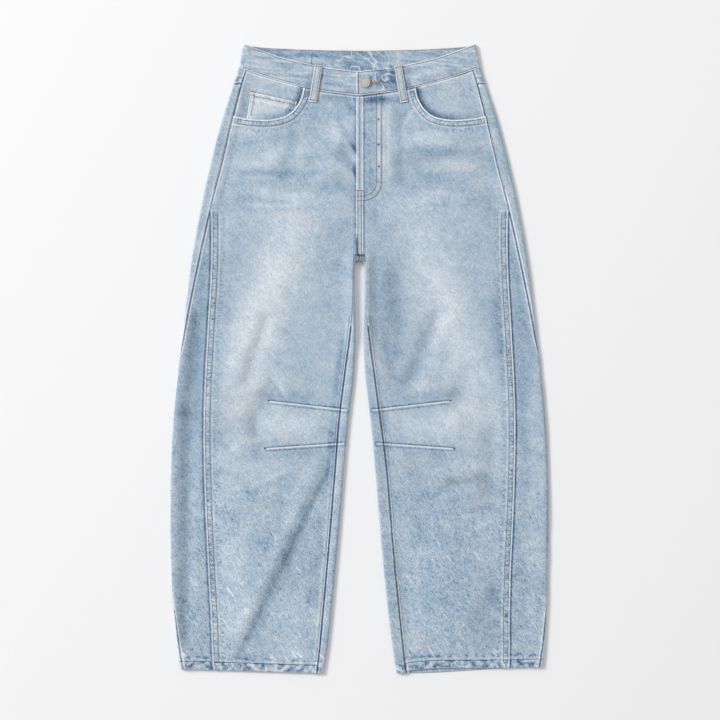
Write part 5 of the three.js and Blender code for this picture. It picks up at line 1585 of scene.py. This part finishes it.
class TrousersWash(bpy.types.PropertyGroup):
    deep: colour_property("Deep", "Least washed blue", (0.062, 0.128, 0.250))
    blue: colour_property("Blue", "Blue of the shaded washes", (0.262, 0.380, 0.506))
    middle: colour_property("Middle", "Main colour of the wash", (0.445, 0.535, 0.620))
    pale: colour_property("Pale", "Most washed colour", (0.780, 0.800, 0.820))
    metal: colour_property("Metal", "Button and rivets", (0.52, 0.50, 0.48))
    # Fade also scales the painted shade and painted highlight of the folds and the painted shade in the
    # tone
    fade: strength_property("Fade", "Strength of the painted wash", 0.62, 2)
    grain: strength_property("Grain", "Strength of the yarn's unevenness", 0.40, 1)
    mottle: strength_property("Mottle", "Strength of the washed blotches", 0.19, 1)
    # Wear also scales the painted shade in the seam grooves
    wear: strength_property("Wear", "Strength of the wear along seams", 0.70, 2)
    sheen: strength_property("Sheen", "Fuzz that catches light", 0.08, 1)


class TrousersStage(bpy.types.PropertyGroup):
    floor: colour_property("Floor", "Plain ground", (0.90, 0.90, 0.91))
    key: strength_property("Key Light", "Power of the large soft light", 825.0, 5000, "POWER")
    world: strength_property("Sky", "Strength of the light all round", 0.566, 5)


class PieceOperator:
    bl_options = {"REGISTER", "UNDO"}


class TROUSERS_OT_fronts(PieceOperator, bpy.types.Operator):
    """Front panels from the waistband and pocket edge to the hem"""
    bl_idname = "trousers.fronts"
    bl_label = "Front Panels"

    def execute(self, context):
        for word, side in SIDES.items():
            cloth_piece(f"front_panel_{word}", front_place(side),
                        denim_material("denim front", 0.0), [f"front_{word}"])
        return {"FINISHED"}


class TROUSERS_OT_gores(PieceOperator, bpy.types.Operator):
    """Long side gores that give the barrel shape"""
    bl_idname = "trousers.gores"
    bl_label = "Side Gores"

    def execute(self, context):
        for word, side in SIDES.items():
            cloth_piece(f"side_gore_{word}", gore_place(side),
                        denim_material("denim gore", -0.04), [f"gore_{word}"])
        return {"FINISHED"}


class TROUSERS_OT_backs(PieceOperator, bpy.types.Operator):
    """Back panels and yokes, which lie on the surface and wrap round to the front"""
    bl_idname = "trousers.backs"
    bl_label = "Back Panels and Yokes"

    def execute(self, context):
        material = denim_material("denim back", -0.05)
        for word, side in SIDES.items():
            cloth_piece(f"back_panel_{word}", back_place(side), material,
                        [f"back_{word}"], up=False)
            cloth_piece(f"back_yoke_{word}", yoke_place(side), material,
                        [f"yoke_{word}"], up=False)
        return {"FINISHED"}


class TROUSERS_OT_pockets(PieceOperator, bpy.types.Operator):
    """Pocket facings, coin pocket and the back pockets"""
    bl_idname = "trousers.pockets"
    bl_label = "Pockets"

    def execute(self, context):
        material = denim_material("denim facing", -0.03)
        for word, side in SIDES.items():
            cloth_piece(f"facing_{word}", facing_place(side), material,
                        [f"pocket_facing_{word}"])
            self.back_pocket(word, side)
        cloth_piece("small_pocket", coin_place(), denim_material("denim coin", 0.04),
                    ["coin_pocket"], thickness=0.8)
        return {"FINISHED"}

    def back_pocket(self, word, side):
        """Patch pocket with a point at its lower edge, flat under the seat."""
        pocket = BACK_POCKET
        corners = 41
        wide, deep = 138, 140

        def place(column, row):
            u, v = column / (corners - 1), row / (corners - 1)
            x = mix(pocket["inner"], pocket["outer"], u)
            low = pocket["corner"] + (pocket["tip"] - pocket["corner"]) * (1 - np.abs(2 * u - 1))
            y = mix(low, pocket["top"], v)
            edge = np.minimum(np.minimum(u, 1 - u) * wide, v * deep)
            marks = marks_of(y, -0.2, double_seam=edge, single_seam=(1 - v) * deep)
            return (side * x, y, np.full(len(x), 0.02)), marks

        cloth_piece(f"rear_pocket_{word}", (corners, corners, place),
                    denim_material("denim back", -0.05), [f"back_pocket_{word}"],
                    up=False, thickness=1.1)


class TROUSERS_OT_waistband(PieceOperator, bpy.types.Operator):
    """Waistband, closed at the centre front with its left end on top"""
    bl_idname = "trousers.waistband"
    bl_label = "Waistband"

    def execute(self, context):
        stations = band_stations()
        height = 41.0

        def point(station, share, depth):
            return band_point(*station, share, depth)

        def marks(station, index, share, depth, x, y):
            side, part, *_ = station
            edge = min(share, 1 - share) * height
            end = abs(x + CENTRE_FRONT) if side > 0 and part == "front" else FAR
            tone = float(wash_and_shade_at(np.array([x]), np.array([y]))[0]) - (0.50 if depth > 0.5 else 0)
            shade = 0.0
            if part == "front":
                crinkle = float(bell(x, 40, 24))
                tone -= crinkle
                shade = float(loop_shade(x, y)) if depth < 0.5 else 0.0
            else:
                crinkle = 0.8 * float(bell(x, 6, 52))
            if part == "back":
                tone += 0.9 * float(bell(x, -50, 1.3))
            return marks_of(x, tone, shade, crinkle, single_seam=min(edge, end) + 1.9)

        strip_piece("waistband_strip", stations, strip_profile(0.03, 28, 12, 8), point, marks,
                    denim_material("denim band", 0.10, 0.30), ["waistband"])
        return {"FINISHED"}


class TROUSERS_OT_loops(PieceOperator, bpy.types.Operator):
    """Belt loops on the front and under the back"""
    bl_idname = "trousers.loops"
    bl_label = "Belt Loops"

    def execute(self, context):
        material = denim_material("denim loop", 0.06)
        count = 40
        profile = strip_profile(0.06, 12, 6, 6)
        for word, loop in zip(SIDES, rows_of(LOOPS)):
            across = loop_across(loop)
            stations = [loop_frame(loop, s) for s in np.linspace(0, 1, count)]

            def point(station, share, depth):
                x, y, rest = station
                place = (share - 0.5) * LOOP_WIDTH
                crown = 0.25 * (1 - (2 * share - 1) ** 2)
                crown -= 0.18 * (float(bell(share, 0.17, 0.06)) + float(bell(share, 0.83, 0.06)))
                z = rest + LOOP_WALL * (1 - depth) + crown * (1 - depth)
                return x + across.x * place, y + across.y * place, z

            def marks(station, index, share, depth, x, y):
                end = min(index, count - 1 - index) * 1.6
                beside = min(share, 1 - share) * LOOP_WIDTH
                return marks_of(y, 0.05 - 0.3 * depth, single_seam=min(end, beside) + 1.4)

            strip_piece(f"loop_front_{word}", stations, profile, point, marks, material,
                        [f"belt_loop_front_{word}"])
        for word, x in BACK_LOOPS.items():
            bm = bmesh.new()
            bmesh.ops.create_cube(bm, size=1.0)
            low, high = BACK_LOOP_SPAN
            size = Matrix.Diagonal((LOOP_WIDTH * MM, (high - low) * MM, 1.2 * MM, 1))
            spot = Matrix.Translation((x * MM, (low + high) / 2 * MM, 0.6 * MM))
            bmesh.ops.transform(bm, matrix=spot @ size, verts=bm.verts)
            bmesh.ops.bevel(bm, geom=bm.edges[:], offset=0.35 * MM, affect="EDGES", segments=2,
                            profile=0.5, material=-1)
            for mark, value in marks_of(0.0, -0.1, single_seam=8.0).items():
                layer = bm.verts.layers.float.new(mark)
                for vert in bm.verts:
                    vert[layer] = value
            obj = finish_object(bm, f"loop_rear_{word}", material,
                                [f"belt_loop_back_{word}"])
        return {"FINISHED"}


class TROUSERS_OT_metal(PieceOperator, bpy.types.Operator):
    """Waistband button and the rivets at the pocket corners"""
    bl_idname = "trousers.metal"
    bl_label = "Button and Rivets"

    def execute(self, context):
        material = metal_material()
        place = (BUTTON["x"], BUTTON["y"], BUTTON["base"])
        self.turned("fly_button", BUTTON, BUTTON_SECTION, place, 64, material, "button")
        for word, side in SIDES.items():
            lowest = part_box(f"rivet_{word}")[0].z / MM
            place = (side * RIVET["x"], RIVET["y"], lowest - 0.2)
            self.turned(f"pocket_rivet_{word}", RIVET, RIVET_SECTION, place, 32, material,
                        f"rivet_{word}")
        return {"FINISHED"}

    def turned(self, name, sizes, section, place, steps, material, node):
        """A round part spun from half of its section."""
        bm = bmesh.new()
        radius, height = sizes["radius"] * MM, sizes["height"] * MM
        verts = [bm.verts.new((a * radius, 0, b * height)) for a, b in section]
        edges = [bm.edges.new(pair) for pair in zip(verts[:-1], verts[1:])]
        bmesh.ops.spin(bm, geom=verts + edges, cent=(0, 0, 0), axis=(0, 0, 1), angle=2 * math.pi,
                       steps=steps, use_merge=True)
        bmesh.ops.remove_doubles(bm, verts=bm.verts, dist=1e-7)
        bmesh.ops.recalc_face_normals(bm, faces=bm.faces)
        bmesh.ops.translate(bm, vec=Vector(place) * MM, verts=bm.verts)
        obj = finish_object(bm, name, material, [node])
        obj.data.set_sharp_from_angle(angle=math.radians(28))


class TROUSERS_OT_thread(PieceOperator, bpy.types.Operator):
    """Stitching, bar tacks and the buttonhole"""
    bl_idname = "trousers.thread"
    bl_label = "Thread"

    def execute(self, context):
        thread = context.scene.trousers_thread
        seam, hem, tack = Stitcher(), Stitcher(), Stitcher()
        for side in SIDES.values():
            self.leg(side, seam, hem, tack)
            self.pocket(side, seam, tack)
        self.fly(seam, hem, tack)
        self.band(seam, hem, tack)
        self.loops(seam, tack)
        self.coin(seam, tack)
        seam.finish("thread_seams", thread.seam)
        hem.finish("thread_hems", thread.hem)
        tack.finish("thread_tacks", thread.tack)
        return {"FINISHED"}

    def leg(self, side, seam, hem, tack):
        heights = np.arange(240, -500, -3.0)
        for away in GORE_STITCH:
            x = seam_x(side, heights) - away
            seam.line(on_front(side, np.column_stack([x, heights])))
        heights = np.arange(70, -500, -3.0)
        x = inseam_x(side, heights) + INSEAM_STITCH
        seam.line(on_front(side, np.column_stack([x, heights])))
        start, end = float(inseam_x(side, -503)) + 1, float(seam_x(side, -500)) - 1
        x = np.arange(start, end, 2.0)
        y = hem_y(side, hem_across(side, x)) + HEM_STITCH
        hem.line(on_front(side, np.column_stack([x, y]), 0.45), radius=0.6)
        turns = np.arange(float(turn_for(gore_at(-500.0))) - 1, 0.5, -1.5)
        inset = np.maximum(turns - FOLD_RADIUS * np.pi / 2 + FOLD_RADIUS, 0)
        y = hem_y(side, 1 - inset / LEG_WIDTH) + HEM_STITCH
        hem.line(on_fold(side, y, turns, 0.62), radius=0.6)
        for dart in rows_of(DARTS):
            line = dense(offset_line(dense(dart_line(side, dart), 4.0), 2.4))
            line = line[line[:, 0] > inseam_x(side, line[:, 1]) - 9]
            hem.line(on_front(side, line), pitch=2.6, radius=0.44)
            tip = on_front(side, [(dart["tip_x"] - 2, dart["tip_y"] + 1)])[0]
            hem.tack(tip, (1, 0.1), 3.0, 1.6)
        heights = np.arange(444, 284, -3.0)
        turn = turn_for(side_at(heights)) - 2.6
        seam.line(on_fold(side, heights, turn, 0.14, plain=True))
        end = np.array([281.0])
        spot = on_fold(side, end, turn_for(side_at(end)) - 2.6, 0.2, plain=True)[0]
        tack.tack(spot, (-side * 0.3, 1), 8.0, 1.8)
        for away in (2.0, 10.0):
            turns = np.linspace(float(turn_for(side_at(452.0))) - 1.5, 1.0, 9)
            y = np.full(len(turns), YOKE_SIDE_Y + away)
            seam.line(on_fold(side, y, turns, 0.42, plain=True))

    def pocket(self, side, seam, tack):
        scoop = scoop_line(side)
        for away in SCOOP_STITCH:
            line = offset_line(scoop, away)
            line = dense(line[line[:, 0] < seam_x(side, line[:, 1]) - 4])
            line = line[line[:, 1] < smooth(BAND_LOW_FRONT, "y", line[:, 0]) - 1]
            seam.line(on_front(side, line))
        spot = on_front(side, [(85.5, 436.5)])[0]
        tack.tack(spot, (side * 1, 0.2), 7.0, 1.6)

    def fly(self, seam, hem, tack):
        side = 1
        for away in (0, 8):
            seam.line(on_front(side, dense(fly_line(away))))
        seam.line(on_front(side, dense([(0.4, 429), (0.4, 278)])))
        for x in (-3.0, 3.3):
            seam.line(on_front(side, dense([(x, 272), (x, 170)])))
        for y in (265.5, 258.5):
            seam.line(on_front(side, dense([(-4.4, y), (8.5, y + 0.5)])))
        # Near-black thread along the cross seam, drawn thick: its stitching and a painted shadow of the
        # seam
        hem.line(on_front(side, dense([(-4.6, 169.8), (8.4, 169.8)]), 0.1), radius=0.95)
        tack.tack(on_front(side, [(0.4, 275)])[0], (1, 0), 11.0, 2.0)
        tack.tack(on_front(side, [(29.5, 289.5)])[0], (1, 0), 7.0, 1.6)
        for spot in on_front(side, FLY_DOTS):
            hem.tack(spot, (1, 0), 2.4, 2.6, 0.4)

    def band(self, seam, hem, tack):
        for side in SIDES.values():
            first = CENTRE_FRONT + 0.5 if side < 0 else -CENTRE_FRONT + 1
            stations = np.arange(first, 194, 3.0)
            for share in BAND_STITCH:
                seam.line([band_surface(side, x, share) for x in stations])
            stations = np.arange(0, 186, 3.0)
            back = [band_surface(side, x, 0.965, inside=True, part="back") for x in stations]
            tack.line(back, radius=0.62)
        shares = np.linspace(0.07, 0.93, 16)
        hem.line([band_surface(1, -CENTRE_FRONT + 3.4, s) for s in shares], radius=0.6)
        hem.line([band_surface(-1, 80.2, s, inside=True, part="back") for s in (0.35, 0.6, 0.85)])
        x, y, z = band_surface(1, 0.6, 0.93, inside=True, part="back")
        tack.tack((x, y + 1.0, z + 0.1), (1, 0), 12.5, 2.0)
        self.buttonhole(tack)

    def buttonhole(self, tack):
        """Keyhole worked in close stitches beside the button."""
        z = LIFT + 2 * BAND_WALL + LAYER_GAP + BAND_WALL + 0.3 + 0.45
        eye, end = Vector(BUTTONHOLE["eye"]), Vector(BUTTONHOLE["end"])
        run = (end - eye).normalized()
        across = Vector((-run.y, run.x))
        length = (end - eye).length
        for k in range(int(length / 0.8)):
            spot = eye + run * (k * 0.8 + 1.5)
            for way in (-1, 1):
                near, far = spot + across * way * 0.35, spot + across * way * 2.2
                tack.stitch((*near, z), (*far, z), 0.42)
        for turn in np.linspace(40, 320, 14):
            angle = math.radians(turn) + math.atan2(run.y, run.x)
            ray = Vector((math.cos(angle), math.sin(angle)))
            near, far = eye + ray * 1.1, eye + ray * 2.9
            tack.stitch((*near, z), (*far, z), 0.42)

    def loops(self, seam, tack):
        for loop in rows_of(LOOPS):
            across = loop_across(loop)
            for place in (-4.3, 4.3):
                line = []
                for share in np.linspace(0.04, 0.96, 24):
                    x, y, rest = loop_frame(loop, share)
                    line.append((x + across.x * place, y + across.y * place, rest + LOOP_WALL + 0.1))
                seam.line(line, radius=0.58)
            for share in (0.03, 0.94):
                x, y, rest = loop_frame(loop, share)
                tack.tack((x, y, rest + LOOP_WALL + 0.3), across, 10.5, 1.8)

    def coin(self, seam, tack):
        side = -1
        top = np.column_stack([COIN["top_x"], COIN["top_y"]])

        def lay(points):
            points = np.array(points, float)
            z = pocket_z(side, points[:, 0], points[:, 1]) + 1.3
            return np.column_stack([side * points[:, 0], points[:, 1], z])

        down = Vector((0.217, -0.976))
        for away in (2.0, 8.0):
            line = dense(top + np.array(down) * away, 3.0)
            seam.line(lay(line[1:-1]))
        for inward in (2.2, 9.6):
            start = (COIN["top_x"][0] - inward, 439.0 - inward * 0.22)
            end = (COIN["low_x"][0] - inward, 398.0)
            seam.line(lay(dense([start, end], 3.0)))
        start, end = (106.0, 421.5), (108.5, 411.0)
        seam.line(lay(dense([start, end], 3.0)))
        for x, y in ((178.0, 437.8), (107.5, 421.5)):
            spot = lay([(x, y)])[0]
            tack.tack(spot, (1, 0.22), 7.0, 1.6)


class TROUSERS_OT_stage(PieceOperator, bpy.types.Operator):
    """Camera straight above, pale floor and soft light from the upper left"""
    bl_idname = "trousers.stage"
    bl_label = "Stage"

    def execute(self, context):
        scene = context.scene
        stage = scene.trousers_stage
        bm = bmesh.new()
        bmesh.ops.create_grid(bm, x_segments=1, y_segments=1, size=6.0)
        bmesh.ops.translate(bm, vec=(0, 0, -0.0003), verts=bm.verts)
        mesh = bpy.data.meshes.new("floor")
        bm.to_mesh(mesh)
        bm.free()
        mesh.materials.append(plain_material("floor", stage.floor, 0.9))
        floor = new_object("floor", mesh)
        light = bpy.data.lights.new("key", "AREA")
        light.shape = "DISK"
        light.size = 3.9
        light.energy = stage.key
        key = new_object("key", light)
        key.location = (-7.3, 4.4, 6.0)
        key.rotation_euler = (-Vector(key.location)).to_track_quat("-Z", "Y").to_euler()
        world = bpy.data.worlds.new("sky")
        world.use_nodes = True
        background = world.node_tree.nodes["Background"]
        background.inputs["Color"].default_value = (1, 1, 1, 1)
        background.inputs["Strength"].default_value = stage.world
        scene.world = world
        camera_data = bpy.data.cameras.new("camera")
        camera_data.lens = 85
        camera_data.sensor_width = 36
        camera_data.clip_end = 50
        camera = new_object("camera", camera_data)
        camera.location = (0.0008, -0.0025, 2.793)
        scene.camera = camera
        scene.view_settings.view_transform = "Standard"
        return {"FINISHED"}


class TROUSERS_PT_panel(bpy.types.Panel):
    bl_label = "Trousers"
    bl_idname = "TROUSERS_PT_panel"
    bl_space_type = "VIEW_3D"
    bl_region_type = "UI"
    bl_category = "Trousers"

    def draw(self, context):
        for operator in OPERATORS:
            self.layout.operator(operator.bl_idname)
        for name in GROUPS:
            group = getattr(context.scene, name)
            box = self.layout.box()
            for key in group.__annotations__:
                box.prop(group, key)


GROUPS = {
    "trousers_cloth": TrousersCloth,
    "trousers_thread": TrousersThread,
    "trousers_wash": TrousersWash,
    "trousers_stage": TrousersStage,
}
OPERATORS = (
    TROUSERS_OT_fronts,
    TROUSERS_OT_gores,
    TROUSERS_OT_backs,
    TROUSERS_OT_pockets,
    TROUSERS_OT_waistband,
    TROUSERS_OT_loops,
    TROUSERS_OT_metal,
    TROUSERS_OT_thread,
    TROUSERS_OT_stage,
)


def register():
    for group in (*GROUPS.values(), *OPERATORS, TROUSERS_PT_panel):
        bpy.utils.register_class(group)
    for name, group in GROUPS.items():
        setattr(bpy.types.Scene, name, bpy.props.PointerProperty(type=group))


def unregister():
    for name in GROUPS:
        delattr(bpy.types.Scene, name)
    for group in (TROUSERS_PT_panel, *reversed(OPERATORS), *GROUPS.values()):
        bpy.utils.unregister_class(group)


def main():
    register()
    bpy.ops.trousers.fronts()
    bpy.ops.trousers.gores()
    bpy.ops.trousers.backs()
    bpy.ops.trousers.pockets()
    bpy.ops.trousers.waistband()
    bpy.ops.trousers.loops()
    bpy.ops.trousers.metal()
    bpy.ops.trousers.thread()
    bpy.ops.trousers.stage()
    bpy.context.view_layer.update()


if __name__ == "__main__":
    main()
